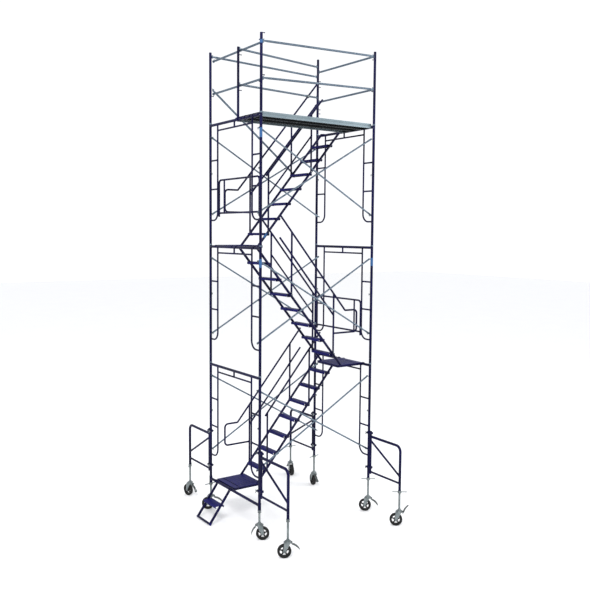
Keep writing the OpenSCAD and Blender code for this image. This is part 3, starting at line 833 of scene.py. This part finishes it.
def stairShapes():
    s = stair
    paint, grip = [], []
    for y in (s["stringR"], s["width"] - s["stringR"]):
        ends = np.array([s["stringFrom"], s["span"] - s["stringShort"]])
        line = np.stack([ends, np.full(2, y), noseLine(ends) - s["stringDrop"]], -1)
        paint.append(roundRod(line[0], line[1], s["stringR"], 0.003, 20))
        paint += headerHook((0, y, -s["deckDrop"]), 1, s["nearGap"])
        paint += headerHook((s["span"], y, tierRise - s["deckDrop"]), -1, s["farGap"])
    deep, side = s["treadDeep"], 2 * s["stringR"]
    section = formedSection(deep, *s["fold"])
    wide = s["width"] - 2 * side
    for i in range(1, 8):
        z = treadHeight(i)
        start = treadBack(z) - deep
        grip.append(strip(section, (start, side - 0.001, z), xAxis, zAxis, -(wide + 0.002)))
        grip += buttons((start, side, z), deep, wide, (0.28, 0.72))
        for y, sign in ((side - 0.003, 1), (s["width"] - side + 0.003, -1)):
            low = (start + 0.012, min(y, y + sign * 0.006), z - 0.044)
            paint.append(box(low, (start + deep - 0.012, low[1] + 0.006, z - 0.001)))
    # landing: a tray with a drain slot behind its outer edge
    w, l, t, x0 = s["width"], s["landing"], s["wall"], s["trayFrom"]
    near, far = s["slot"]
    grip.append(plateWithSlot((x0, 0, -t), (l, w, 0), (near, 0.030, -t), (far, w - 0.030, 0)))
    for y in (0, w - t):
        paint.append(box((x0, y, -s["trayDeep"]), (l, y + t, -t)))
    for x, depth in ((x0, s["trayDeep"]), (l - t, s["trayDeep"]), (near - t, s["slotDeep"]),
                     (far, s["slotDeep"])):
        paint.append(box((x, t, -depth), (x + t, w - t, -t)))
    for y in s["bars"]:
        paint.append(box((far + t, y - s["barHalf"], -s["barDeep"]), (l - t, y + s["barHalf"], -t)))
    lozenge = np.array([(0.011, 0), (0, 0.0035), (-0.011, 0), (0, -0.0035)])
    for k, along in enumerate(np.linspace(0.17, l - 0.03, 13)):
        turn = math.radians(45 if k % 2 else -45)
        outline = lozenge @ aboutZ(-turn)[:2, :2]
        for y in np.arange(0.035 + 0.014 * (k % 2), w - 0.03, 0.031):
            grip.append(prism(outline, (along, y, -0.0005), xAxis, yAxis, 0.0020))
    return paint, grip


paint, grip = stairShapes()
for name, x, y, tier, sense in stairRuns:
    at = (x, y, headerAt(tier - 1) + stair["deckDrop"])
    shapes = [moved(shape, at, np.diag([sense, sense, 1.0])) for shape in paint + grip]
    # treads and landing take the lighter copy of the frame paint, which is painted light
    buildPiece(f"{name}_flight", shapes, [framePaint, litTreadPaint], "tower", (name,),
               groups=[0] * len(paint) + [1] * len(grip))
print("stairs made")

# Handrails: welds at their joints and bolts to the stringers

handrail = {"r": 0.015, "height": 0.790, "mid": 0.445, "off": 0.0155, "bead": 0.0026, "thinR": 0.0135,
            "outerPosts": (0.660, 1.480), "innerPosts": (0.640, 1.470), "boltDrops": (0.135, 0.165),
            "low": 0.530, "bolt": (0.008, 0.006)}


def handrailDetails(x, y, tier, sense):
    h = handrail
    z0 = headerAt(tier - 1) + stair["deckDrop"]
    way = unit(np.array([1.0, 0, stairSlope]))
    shapes, bolts = [], []
    for side, posts in ((stair["width"] + h["off"], h["outerPosts"]), (-h["off"], h["innerPosts"])):
        sign = 1 if side > 0 else -1
        for s in posts:
            top, middle = ((s, side, noseLine(s) + h[k]) for k in ("height", "mid"))
            shapes.append(weldBead(top, way, (0, 0, -1.0), h["r"], h["r"], h["bead"]))
            shapes.append(weldBead(middle, zAxis, way, h["r"], h["r"] if sign > 0 else h["thinR"], h["bead"]))
            for drop in h["boltDrops"]:
                at = (s, side + sign * h["r"], noseLine(s) - drop)
                bolts.append(hexBolt(at, (0, sign, 0), *h["bolt"]))
        if sign > 0:
            shapes.append(weldBead((posts[0], side, h["low"]), zAxis, (-1.0, 0, 0), h["r"], h["r"],
                                   h["bead"]))
    turn = np.diag([sense, sense, 1.0])
    return ([moved(b, (x, y, z0), turn) for b in shapes], [moved(b, (x, y, z0), turn) for b in bolts])


crossing = {"rail": 8, "half": 0.022, "wall": 0.005, "soft": 0.001, "root": 0.002, "boltOut": 0.016,
            "boltR": 0.006, "bolt": (0.0095, 0.007)}


def crossingClamp():
    # the nearest points of the rail and the upper handrail, with a band round each and a bolt through both
    c = crossing
    a, b = railRuns[c["rail"]]
    railWay = unit(b - a)
    handWay = unit(np.array([1.0, 0, stairSlope]))
    start = np.array([xLeft, yBack - stair["lane"] + handrail["off"], headerAt(1) + stair["deckDrop"]
                      + noseLine(0) + handrail["height"]])
    across = np.cross(railWay, handWay)
    along = np.linalg.solve(np.stack([railWay, -handWay, across], -1), start - a)
    onRail, onHand = a + along[0] * railWay, start + along[1] * handWay
    shapes = []
    for at, way, r in ((onRail, railWay, rail["r"]), (onHand, handWay, handrail["r"])):
        outer, half, soft = r + c["wall"], c["half"], c["soft"]
        band = [(r - soft, -half), (outer - soft, -half), (outer, -half + soft), (outer, half - soft),
                (outer - soft, half), (r - soft, half)]
        shapes.append(turned(band, at, way, 28, True))
        side = unit(np.cross(way, across))
        root, tip = at + side * (outer - c["root"]), at + side * (outer + c["boltOut"])
        shapes.append(roundRod(root, tip, c["boltR"], soft, 12))
        shapes.append(hexBolt(tip - side * c["root"], side, *c["bolt"]))
    return shapes


buildPiece("rail_crossing_clamp", crossingClamp(), [zincPlate], "tower", smoothAngle=40)

beads, bolts = [], []
for name, x, y, tier, sense in stairRuns:
    some, more = handrailDetails(x, y, tier, sense)
    beads += some
    bolts += more
buildPiece("handrail_welds", beads, [weldPaint], "tower")
buildPiece("handrail_bolts", bolts, [zincPlate], "tower")

# Deck planks

plank = {"width": 0.235, "pitch": 0.238, "start": 0.027, "top": 0.050, "inset": 0.034, "panelIn": 0.0045,
         "hooks": (0.16, 0.80), "hook": (0.036, 0.026), "rivetIn": 0.0405, "rivetY": 0.028,
         "rivet": [(0.005, -0.001), (0.0042, 0.0012), (0.0, 0.0018)],
         "side": [(0, -0.070), (0.022, -0.070), (0.022, -0.066), (0.004, -0.066), (0.004, -0.046),
                  (0.007, -0.042), (0.004, -0.038), (0.004, -0.016), (0.016, -0.016), (0.016, -0.013),
                  (0.004, -0.013), (0.004, -0.002), (0.012, -0.001), (0.012, 0.0), (0.001, 0.0), (0, -0.001),
                  (0, -0.034), (-0.0012, -0.037), (0, -0.040)]}


def plankShapes():
    # each side rail is a tall channel with a bulb along its foot and a lip that holds the panel
    p = plank
    x0, x1 = xLeft + p["inset"], xRight - p["inset"]
    z = deckHeader + p["top"]
    alloy, shadedParts, ply, hooks = [], [], [], []
    for k in range(3):
        y = yFront + p["start"] + k * p["pitch"]
        end = y + p["width"]
        for at, sign in ((y, 1), (end, -1)):
            outline = np.array(p["side"]) * np.array([sign, 1])
            line = np.stack([0 * outline[:, 0], at + outline[:, 0], z + outline[:, 1]], -1)
            points, quads, tris = skin(np.stack([line + xAxis * x for x in (x0, x1)]))
            # the two outer edge rails take the bright alloy; the inner rails, between planks, take the
            # near-black alloy as painted shade
            edge = (k == 0 and sign > 0) or (k == 2 and sign < 0)
            (alloy if edge else shadedParts).append((points[:-2], quads, tris[:0]))
        ply.append(box((x0 + 0.002, y + p["panelIn"], z - 0.013),
                       (x1 - 0.002, end - p["panelIn"], z - 0.0018)))
        # the bars under the deck also take the near-black alloy, as painted shade
        for x in np.linspace(x0 + 0.25, x1 - 0.25, 5):
            shadedParts.append(box((x - 0.015, y + 0.005, z - 0.042), (x + 0.015, end - 0.005, z - 0.0165)))
        for x in (x0, x1 - 0.005):
            shadedParts.append(box((x, y + 0.003, z - 0.067), (x + 0.005, end - 0.003, z - 0.004)))
        for share in p["hooks"]:
            for x, sense in ((xLeft, 1), (xRight, -1)):
                middle = y + share * p["width"]
                hooks += headerHook((x, middle, deckHeader), sense, *p["hook"])
                for dy in (-p["rivetY"], p["rivetY"]):
                    at = (x + sense * (p["inset"] + p["rivetIn"]), middle + dy, z)
                    alloy.append(turned(p["rivet"], at, zAxis, 10))
    return alloy, shadedParts, ply, hooks


plankParts = plankShapes()
# material 1, the near-black alloy, is painted shade on the parts between and under the planks
buildPiece("deck_planks", sum(plankParts, []), [plankAlloy, shadedAlloy, deckPly, framePaint], "tower",
           ("planks",), groups=sum(([k] * len(part) for k, part in enumerate(plankParts)), []))
print("deck made")

# Jacks

reach = 0.762
legTable = {  # place, extra drop of the nut, swivel, handle and lever angles in degrees
    "front_left": (xLeft, yFront, 0.110, -35, 62, 35),
    "back_left": (xLeft, yBack, 0.110, 145, 5, 0),
    "front_right": (xRight, yFront, 0, 130, -35, 12),
    "back_right": (xRight, yBack, 0, 76, 12, 12),
    "outer_front_left": (xLeft, yFront - reach, 0, 152, 55, 10),
    "outer_back_left": (xLeft, yBack + reach, 0, 104, 50, 19),
    "outer_front_right": (xRight, yFront - reach, 0, 140, -35, -85),
    "outer_back_right": (xRight, yBack + reach, 0, -105, 0, 15),
}
jack = {"r": 0.0175, "pitch": 0.00635, "depth": 0.0019, "threadFrom": 0.300, "threadTo": 0.842, "cols": 18,
        "neck": [(0.0155, 0.272), (0.0155, 0.290), (0.0175, 0.296)], "tip": [(0.015, 0.848)],
        "foot": [(0.01, 0.2125), (0.0172, 0.213), (0.0172, 0.22), (0.01, 0.221), (0.0099, 0.24),
                 (0.046, 0.24),
                 (0.048, 0.2415), (0.048, 0.2465), (0.0465, 0.248), (0.0262, 0.248), (0.025, 0.25),
                 (0.024, 0.27), (0.0225, 0.2735), (0.0185, 0.274), (0.016, 0.2725)],
        "boltRing": 0.037, "boltZ": 0.2485, "bolt": (0.0062, 0.0045)}
collarNut = {"high": 0.0375, "room": 0.038, "bore": 0.01785,
             "armS": (0.0205, 0.040, 0.095, 0.105, 0.111, 0.1145, 0.115),
             "armR": (0.0088, 0.0072, 0.0072, 0.0080, 0.0080, 0.0066, 0.003)}


def threadedScrew():
    # radius is a trapezoid wave of height less the angle's share of a pitch, faded out at both ends
    j = jack
    low, high = j["threadFrom"], j["threadTo"]
    z = np.linspace(low, high, int((high - low) / j["pitch"] * 8))
    angle = fullTurn(j["cols"])
    wave = np.mod(z[:, None] / j["pitch"] - angle[None, :] / (2 * np.pi), 1.0)
    cut = np.clip(1.9 - 6.0 * np.abs(wave - 0.5), 0, 1)
    fade = np.clip(np.minimum(z - low, high - z) / 0.004, 0, 1)[:, None]

    def rings(r, z):
        flat = r[..., None] * onCircle(angle)
        return np.concatenate([flat, np.broadcast_to(z[:, None, None], (len(z), j["cols"], 1))], -1)

    neck, tip = np.array(j["neck"]), np.array(j["tip"])
    grid = np.concatenate([rings(neck[:, :1], neck[:, 1]), rings(j["r"] - j["depth"] * cut * fade, z),
                           rings(tip[:, :1], tip[:, 1])])
    shapes = [skin(grid), turned(j["foot"], (0, 0, 0), zAxis, 32)]
    for swing in math.pi / 4 + np.arange(4) * math.pi / 2:
        at = (j["boltRing"] * math.cos(swing), j["boltRing"] * math.sin(swing), j["boltZ"])
        shapes.append(hexBolt(at, zAxis, *j["bolt"]))
    return shapes


def jackNut():
    # a cast collar nut: flanges above and below a waist, four lugs, and the two arms of its handle
    n = collarNut
    h, bore = n["high"], n["bore"]
    loop = [(bore, 0.0), (0.0270, 0.0), (0.0290, 0.002), (0.0290, 0.007), (0.0250, 0.010), (0.0238, h * 0.5),
            (0.0250, h - 0.010), (0.0290, h - 0.007), (0.0290, h - 0.002), (0.0275, h), (bore + 0.001, h),
            (bore, h - 0.001)]
    shapes = [turned(loop, (0, 0, 0), zAxis, 32, True)]
    for side in (1, -1):
        path = np.array([[side * s, 0, h / 2] for s in n["armS"]])
        shapes.append(tube(path, np.array(n["armR"]), 14))
    for swing in math.pi / 4 + np.arange(4) * math.pi / 2:
        lug = box((0.0225, -0.004, 0.004), (0.0288, 0.004, h - 0.004))
        shapes.append(moved(lug, (0, 0, 0), aboutZ(swing)))
    return shapes


screwShapes, nutShapes = threadedScrew(), jackNut()
for leg, (x, y, drop, swivel, handle, lever) in legTable.items():
    buildPiece(f"threaded_jack_{leg}", [moved(s, (x, y, 0)) for s in screwShapes], [zincPlate],
               f"screw_{leg}",
               (f"jack_screw_{leg}",), smoothAngle=50)
    at = (x, y, postFoot - drop - collarNut["room"])
    buildPiece(f"collar_nut_{leg}", [moved(s, at, aboutZ(math.radians(handle))) for s in nutShapes],
               [zincPlate],
               f"nut_{leg}", (f"jack_nut_{leg}",))
print("jacks made")

# Casters

caster = {"plateZ": 0.222, "axleZ": 0.1016, "trail": 0.050, "leverX": -0.058, "leverZ": 0.211,
          "wheelR": 0.1016,
          "halfWide": 0.025, "spokes": 5, "plateThick": 0.006, "cheekY": 0.034, "cheekThick": 0.005,
          "cheekArc": 0.021, "ribArc": 0.012, "ribThick": 0.0016, "axleR": 0.0059, "axleHalf": 0.040,
          "pinR": 0.004,
          "pinHalf": 0.027, "earIn": 0.021, "axleBolt": (0.0105, 0.007), "shank": 0.005, "boltX": 0.050,
          "boltY": 0.028, "plateBolt": (0.0055, 0.004),
          "pinCap": [(0.0055, 0.0), (0.0055, 0.002), (0.004, 0.003)],
          "race": [(0.01006, 0.228), (0.04, 0.228), (0.042, 0.2295), (0.0405, 0.2325), (0.0395, 0.2335),
                   (0.0405, 0.2345), (0.042, 0.2375), (0.04, 0.2394), (0.01006, 0.2394)],
          "rim": [(0.0665, -0.0215), (0.075, -0.0225), (0.075, 0.0225), (0.0665, 0.0215), (0.064, 0.012),
                  (0.0635, 0.0), (0.064, -0.012)],
          "halfHub": [(0.00606, 0.0325), (0.007, 0.0335), (0.015, 0.0335), (0.0165, 0.032), (0.0185, 0.016),
                      (0.023, 0.012), (0.033, 0.0095), (0.0345, 0.007)]}
axle = np.array([caster["trail"], 0, caster["axleZ"]])


def forkShapes():
    c = caster
    z, thick = c["plateZ"], c["plateThick"]
    back, notch = c["leverX"] - 0.008, c["leverX"] + 0.0085
    front = roundedRect(0.056, 0.039, 0.014) + np.array([0.0055, 0])
    front[:, 0] = np.maximum(front[:, 0], notch)
    shapes = [prism(front, (0, 0, z), xAxis, yAxis, thick)]
    for low, high in ((-0.039, -0.0205), (0.0205, 0.039)):
        shapes.append(box((back, low, z), (notch + 0.001, high, z + thick)))
    shapes.append(turned(c["race"], (0, 0, 0), zAxis, 36, True))
    # cheek: straight flanks from the plate down to an arc about the axle, with a raised rib inside it
    arc = onCircle(np.linspace(math.radians(14), math.radians(-194), 15))
    outline = np.concatenate([[(-0.034, z + 0.001), (0.056, z + 0.001)], axle[[0, 2]] + c["cheekArc"] * arc])
    rib = np.concatenate([[(-0.012, z - 0.008), (0.036, z - 0.008)], axle[[0, 2]] + c["ribArc"] * arc])
    for sign in (-1, 1):
        y = sign * c["cheekY"]
        shapes.append(prism(outline, (0, y, 0), xAxis, zAxis, -sign * c["cheekThick"]))
        shapes.append(prism(rib, (0, y + sign * c["cheekThick"], 0), xAxis, zAxis, -sign * c["ribThick"]))
        at = axle + yAxis * sign * 0.0405
        shapes.append(hexBolt(at, (0, sign, 0), *c["axleBolt"], c["shank"] if sign > 0 else 0.0))
        low, high = sorted((sign * c["earIn"], sign * c["pinHalf"]))
        shapes.append(box((back, low, z - 0.020), (c["leverX"] + 0.008, high, z + 0.001)))
        at = (c["leverX"], sign * c["pinHalf"], c["leverZ"])
        shapes.append(turned(c["pinCap"], at, (0, sign, 0), 12))
    half = yAxis * c["axleHalf"]
    shapes.append(roundRod(axle - half, axle + half, c["axleR"], 0.0005, 14))
    pin, half = np.array([c["leverX"], 0, c["leverZ"]]), yAxis * c["pinHalf"]
    shapes.append(roundRod(pin - half, pin + half, c["pinR"], 0.0004, 12))
    for sx in (-c["boltX"], c["boltX"]):
        for sy in (-c["boltY"], c["boltY"]):
            shapes.append(hexBolt((sx, sy, z + 0.0065), zAxis, *c["plateBolt"]))
    return shapes


def wheelShapes():
    c = caster
    r, w = c["wheelR"], c["halfWide"]
    mirror = np.array([1, -1])
    # tyre: a crowned tread between rounded shoulders, with a step down each side wall to the rim
    across = np.linspace(-1, 1, 9)
    crown = np.stack([r - 0.0016 * across ** 4, across * (w - 0.006)], -1)
    shoulder = onCircle(np.linspace(0, np.pi / 2, 5)[1:])
    right = np.array([r - 0.0076, w - 0.006]) + 0.006 * shoulder
    wall = [(0.0885, w), (0.0875, w - 0.0012), (0.0800, w - 0.0012), (0.0790, w), (0.0752, w),
            (0.0746, w - 0.001)]
    half = np.concatenate([right, wall])
    tyre = [turned(np.concatenate([crown, half, half[::-1] * mirror]), axle, yAxis, 56, True)]
    halfHub = np.array(c["halfHub"])
    core = [turned(c["rim"], axle, yAxis, 48, True),
            turned(np.concatenate([halfHub * mirror, halfHub[::-1]]), axle, yAxis, 32, True)]
    s, ends = np.linspace(0.031, 0.071, 7), np.abs(np.linspace(-1, 1, 7))
    wide, thick = 0.0105 + 0.0060 * ends ** 2.5, 0.0070 + 0.0016 * ends ** 2
    angle = fullTurn(14)[None, :]
    flat = squared(np.cos(angle), 0.6) * wide[:, None]
    high = squared(np.sin(angle), 0.6) * thick[:, None]
    for k in range(c["spokes"]):
        swing = 2 * math.pi * k / c["spokes"] + math.pi / 2
        way = np.array([math.cos(swing), 0, math.sin(swing)])
        around = np.array([-math.sin(swing), 0, math.cos(swing)])
        core.append(skin(axle + s[:, None, None] * way + flat[..., None] * around + high[..., None] * yAxis))
    return tyre, core


pedal = {"radius": 0.150, "rows": 16, "from": 2, "to": 60, "halfWide": 0.015, "flare": 0.008, "wall": 0.003,
         "half": 0.002, "deep": 0.019, "bossR": 0.0085, "ridges": 4, "ridgeFrom": 46.5, "ridgeStep": 3.2}


def leverShapes(drop):
    # a channel section carried along an arc about a point below the pin, widening into the pedal
    p = pedal
    swing = np.linspace(math.radians(p["from"]), math.radians(p["to"]), p["rows"])
    half = p["halfWide"] + p["flare"] * np.clip((np.degrees(swing) - 40) / 6, 0, 1)
    half[-1] *= 0.82
    lip = p["deep"] * np.clip((62 - np.degrees(swing)) / 26, 0.18, 1)
    inner, thin = half - p["wall"], np.full(p["rows"], p["half"])
    ys = np.stack([-half, half, half, inner, inner, -inner, -inner, -half], -1)
    ts = np.stack([thin, thin, -lip, -lip, -thin, -thin, -lip, -lip], -1)
    out = np.stack([-np.sin(swing), 0 * swing, np.cos(swing)], -1)
    centre = np.array([0, 0, -p["radius"]])
    grid = centre + (p["radius"] + ts)[..., None] * out[:, None] + ys[..., None] * yAxis
    points, quads, tris = skin(grid)
    ends = np.array([[0, 1, 4, 5], [1, 2, 3, 4], [0, 5, 6, 7]])
    last = ends + (p["rows"] - 1) * ys.shape[1]
    blade = outward(points[:-2], np.concatenate([quads, ends[:, ::-1], last]), tris[:0])
    shapes = [blade, roundRod((0, -0.020, 0), (0, 0.020, 0), p["bossR"], 0.0012, 18)]
    for k in range(p["ridges"]):
        at = math.radians(p["ridgeFrom"] + p["ridgeStep"] * k)
        place = centre + (p["radius"] + 0.0022) * np.array([-math.sin(at), 0, math.cos(at)])
        shapes.append(roundRod(place - yAxis * 0.018, place + yAxis * 0.018, 0.0016, 0.0006, 8))
    tilt = aboutY(math.radians(-drop))
    return [moved(s, (caster["leverX"], 0, caster["leverZ"]), tilt) for s in shapes]


forkParts = forkShapes()
tyreParts, coreParts = wheelShapes()
for leg, (x, y, drop, swivel, handle, lever) in legTable.items():
    turn = aboutZ(math.radians(swivel))
    at = (x, y, 0)
    buildPiece(f"swivel_fork_{leg}", [moved(s, at, turn) for s in forkParts], [zincPlate], f"fork_{leg}",
               (f"caster_fork_{leg}",))
    buildPiece(f"spoked_wheel_{leg}", [moved(s, at, turn) for s in tyreParts + coreParts],
               [tyreRubber, wheelCore],
               f"wheel_{leg}", (f"caster_wheel_{leg}",),
               groups=[0] * len(tyreParts) + [1] * len(coreParts))
    buildPiece(f"brake_pedal_{leg}", [moved(s, at, turn) for s in leverShapes(lever)], [leverSteel],
               f"lever_{leg}",
               (f"brake_lever_{leg}",))
print("casters made")

# Outriggers: welds, clamp bolts and wing nuts

outrigger = {"high": 0.708, "inner": 0.044, "clamps": (0.170, 0.748), "railR": 0.0165, "postBead": 0.0034,
             "railEnds": ((0.115, 0.115), (0.225, 0.645)), "clampY": 0.0235, "bolt": (0.0085, 0.006, 0.010),
             "pinR": 0.0055,
             "wingThick": 0.005,
             "wing": [(-0.004, -0.007), (0.004, -0.007), (0.007, 0.0), (0.026, 0.014), (0.024, 0.022),
                      (0.010, 0.019), (0.0, 0.010), (-0.010, 0.019), (-0.024, 0.022), (-0.026, 0.014),
                      (-0.007, 0.0)],
             "wingParts": ((0, 1, 2, 6, 10), (2, 3, 4, 5, 6), (6, 7, 8, 9, 10))}


def outriggerDetails(x, y, sign):
    # local y runs out from the post; sign says which way that is
    o = outrigger
    postR = endFrame["postR"]
    leg, upright = y - sign * reach, y - sign * o["inner"]
    out = np.array([0, -sign, 0.0])
    beads = [weldBead((x, upright, postFoot + o["high"]), zAxis, out, postR, postR, o["postBead"])]
    for z0, z1 in o["railEnds"]:
        a, b = np.array([x, leg, postFoot + z0]), np.array([x, upright, postFoot + z1])
        beads.append(weldBead(a, zAxis, b - a, postR, o["railR"]))
        beads.append(weldBead(b, zAxis, a - b, postR, o["railR"]))
    bolts = []
    for z in o["clamps"]:
        middle = postFoot + z + 0.017
        for side in (-1, 1):
            at = (x + side * 0.0295, y + sign * o["clampY"], middle)
            bolts.append(hexBolt(at, (side, 0, 0), *o["bolt"]))
        hinge = np.array([x + 0.026, y - sign * 0.022, middle])
        bolts.append(roundRod(hinge - zAxis * 0.020, hinge + zAxis * 0.020, o["pinR"], 0.001))
        at = (x - 0.040, y + sign * o["clampY"] - o["wingThick"] / 2, middle)
        for part in o["wingParts"]:
            outline = [o["wing"][k] for k in part]
            bolts.append(prism(outline, at, zAxis, -xAxis, o["wingThick"]))
    return beads, bolts


beads, bolts = [], []
for (x, y), sign in zip(corners.values(), (1, -1, 1, -1)):
    some, more = outriggerDetails(x, y, sign)
    beads += some
    bolts += more
buildPiece("outrigger_welds", beads, [weldPaint], "tower")
buildPiece("outrigger_clamp_bolts", bolts, [zincPlate], "tower")
print("outriggers dressed")

# Entry step

entry = {"reach": 0.385, "footZ": 0.026, "z": postFoot - 0.042, "railIn": 0.076, "rail": (0.009, 0.019),
         "footR": 0.0170, "over": 0.020, "hook": (0.0218, 0.0295, 0.024), "treadOut": 0.262, "treadZ": 0.284,
         "treadDeep": 0.150, "fold": (0.032, 0.014, 0.003),
         "cap": [(0.0178, -0.020), (0.0178, -0.001), (0.0165, 0.001), (0.0, 0.0015)]}


def entryStep():
    e = entry
    railY = (yBack - stair["lane"] - stair["width"] + e["railIn"], yBack - stair["lane"] - e["railIn"])
    foot = np.array([xLeft - e["reach"] + 0.020, 0, e["footZ"]])
    head = np.array([xLeft, 0, e["z"]])
    way = unit(foot - head)
    turn = np.stack([way, yAxis, np.cross(way, yAxis)], -1)
    halfY, halfZ = e["rail"]
    sideBar = box((0.023, -halfY, -halfZ), (np.linalg.norm(foot - head), halfY, halfZ))
    paint, grip = [], []
    for y in railY:
        paint.append(hookStrap(head + yAxis * y, *e["hook"]))
        paint.append(moved(sideBar, head + yAxis * y, turn))
        paint.append(weldBead(foot + yAxis * y, yAxis, -way, e["footR"], 0.012, 0.003))
    low, high = foot + yAxis * (railY[0] - e["over"]), foot + yAxis * (railY[1] + e["over"])
    paint.append(roundRod(low, high, e["footR"], 0.002, 18))
    for at, sign in ((low, -1), (high, 1)):
        grip.append(turned(e["cap"], at, (0, sign, 0), 20))
    section = formedSection(e["treadDeep"], *e["fold"])
    wide = railY[1] - railY[0] - 0.008
    start = (xLeft - e["treadOut"], railY[0] + 0.004, e["treadZ"])
    grip.append(strip(section, start, xAxis, zAxis, -wide))
    grip += buttons(start, e["treadDeep"], wide, (0.2, 0.5, 0.8))
    return paint, grip


paint, grip = entryStep()
# the step's tread takes the lighter copy of the frame paint, which is painted light
buildPiece("entry_step_ladder", paint + grip, [framePaint, litTreadPaint], "entry_step",
           ("entry_step",),
           groups=[0] * len(paint) + [1] * len(grip))
sleeveBeads = [weldBead((xLeft, y, entry["z"]), zAxis, (0, sign, 0), 0.0255, endFrame["postR"], 0.0034)
               for y, sign in ((yFront, 1), (yBack, -1))]
buildPiece("starter_bar_welds", sleeveBeads, [weldPaint], "tower")

# Bands on the posts, rail lugs on the guard posts

wrap = {"r": 0.0222, "edgeR": 0.0212, "edge": 0.0002}
bandTable = [  # post, lowest and highest z
    ("front_left", 5.985, 6.125), ("front_left", 4.10, 4.23), ("front_right", 4.09, 4.22),
             ("front_left", 7.315, 7.365),
]


def postBand(x, y, low, high):
    r, edgeR, edge = (wrap[k] for k in ("r", "edgeR", "edge"))
    return turned([(edgeR, low - edge), (r, low), (r, high), (edgeR, high + edge)], (x, y, 0), zAxis, 28)


bands = [postBand(*corners[post], low, high) for post, low, high in bandTable]
bandOnStair = np.array([[s, stair["stringR"], noseLine(s) - stair["stringDrop"]] for s in (0.575, 0.640)])
bandOnStair += np.array([stairRuns[2][1], stairRuns[2][2], headerAt(1) + stair["deckDrop"]])
bands.append(tube(bandOnStair, stair["stringR"] + 0.0008, 24))
buildPiece("marker_bands", bands, [bandBlue], "tower")

lugTable = {  # post: heights above the deck header, and directions of the lugs
    "front_left": ((1.150, 1, 0), (1.060, 0, 1), (0.560, 1, 0), (0.470, 0, 1)),
    "back_left": ((1.060, 0, -1), (0.470, 1, 0)),
    "front_right": ((1.060, 0, 1), (0.550, -1, 0)),
    "back_right": ((1.130, 1, 0), (0.960, 1, 0), (0.860, 1, 0), (0.620, 1, 0), (0.540, -1, 0), (0.470, 1, 0),
                   (0.400, 1, 0)),
    "middle": ((0.960, 1, 0), (0.435, 1, 0)),
}

railLug = {"r": 0.0055, "root": 0.015, "tip": 0.062, "latchAt": 0.050, "postR": 0.0210, "bead": 0.0024,
           "latch": [(0.0095, 0.0), (0.0095, 0.003), (0.006, 0.004)]}


def railLugs():
    # a stub of round bar welded to the post, with its latch at the tip
    g = railLug
    shapes, beads = [], []
    for post, lugs in lugTable.items():
        x, y = corners.get(post, (xLeft, yFront + 0.650))
        for up, dx, dy in lugs:
            at = np.array([x, y, deckHeader + up])
            way = np.array([dx, dy, 0.0])
            shapes.append(roundRod(at + way * g["root"], at + way * g["tip"], g["r"], 0.0012, 12))
            shapes.append(turned(g["latch"], at + way * g["latchAt"], way, 14))
            beads.append(weldBead(at, zAxis, way, g["postR"], g["r"], g["bead"], 20, 6))
    return shapes, beads


lugs, lugBeads = railLugs()
buildPiece("spare_rail_lugs", lugs, [framePaint], "tower")
buildPiece("rail_lug_welds", lugBeads, [weldPaint], "tower")
print("fittings made")

# Floor, light and camera


def floorNodes(wire, place):
    cloud = wire.noise(place, 0.8, 4.0, 0.6)
    return {
        "Base Color": cloud.mixed((0.90, 0.90, 0.905), (0.94, 0.94, 0.94)),
        "Roughness": 0.75 + 0.1 * cloud,
    }


floorFinish = finishOf("paleFloor", floorNodes, {"Specular IOR Level": 0.2})
floorHalf = 60.0
floorMesh = bpy.data.meshes.new("floor")
floorMesh.from_pydata([(-floorHalf, -floorHalf, 0), (floorHalf, -floorHalf, 0), (floorHalf, floorHalf, 0),
                       (-floorHalf, floorHalf, 0)], [], [(0, 1, 2, 3)])
floorMesh.materials.append(floorFinish)
floor = placed("floor", floorMesh)

world = bpy.data.worlds.new("studio")
bpy.context.scene.world = world
world.use_nodes = True
sky = world.node_tree.nodes["Background"]
sky.inputs["Color"].default_value = (0.97, 0.98, 1.0, 1)
sky.inputs["Strength"].default_value = 1.08
bpy.context.scene.view_settings.view_transform = "Standard"


def areaLight(name, place, target, size, power):
    light = bpy.data.lights.new(name, "AREA")
    light.shape = "DISK"
    light.size = size
    light.energy = power
    lamp = placed(name, light)
    lamp.location = place
    lamp.rotation_mode = "QUATERNION"
    lamp.rotation_quaternion = (Vector(target) - Vector(place)).to_track_quat("-Z", "Y")


areaLight("keyLight", (-9.0, -9.0, 13.0), (0, 0, 3.5), 5.0, 1500)
areaLight("fillLight", (10.0, -7.0, 7.0), (0, 0, 3.0), 6.0, 500)

cameraView = {"azimuth": -34.81, "elevation": 4.68, "roll": 0.45, "place": (-6.8066, -10.0460, 4.6014),
              "focalShare": 748.6 / 590.0, "sensor": 36.0}


def addCamera():
    # the view's back, right and up directions from its angles, then turned by the small roll
    c = cameraView
    az, el, roll = (math.radians(c[k]) for k in ("azimuth", "elevation", "roll"))
    back = np.array([math.sin(az) * math.cos(el), -math.cos(az) * math.cos(el), math.sin(el)])
    right = unit(np.cross(zAxis, back))
    up = np.cross(back, right)
    across = math.cos(roll) * right + math.sin(roll) * up
    upward = -math.sin(roll) * right + math.cos(roll) * up
    lens = bpy.data.cameras.new("camera")
    lens.sensor_width = c["sensor"]
    lens.lens = c["focalShare"] * c["sensor"]
    lens.clip_end = 200
    camera = placed("camera", lens)
    columns = np.eye(4)
    columns[:3, 0], columns[:3, 1], columns[:3, 2], columns[:3, 3] = across, upward, back, c["place"]
    camera.matrix_world = Matrix(columns.tolist())
    bpy.context.scene.camera = camera


addCamera()
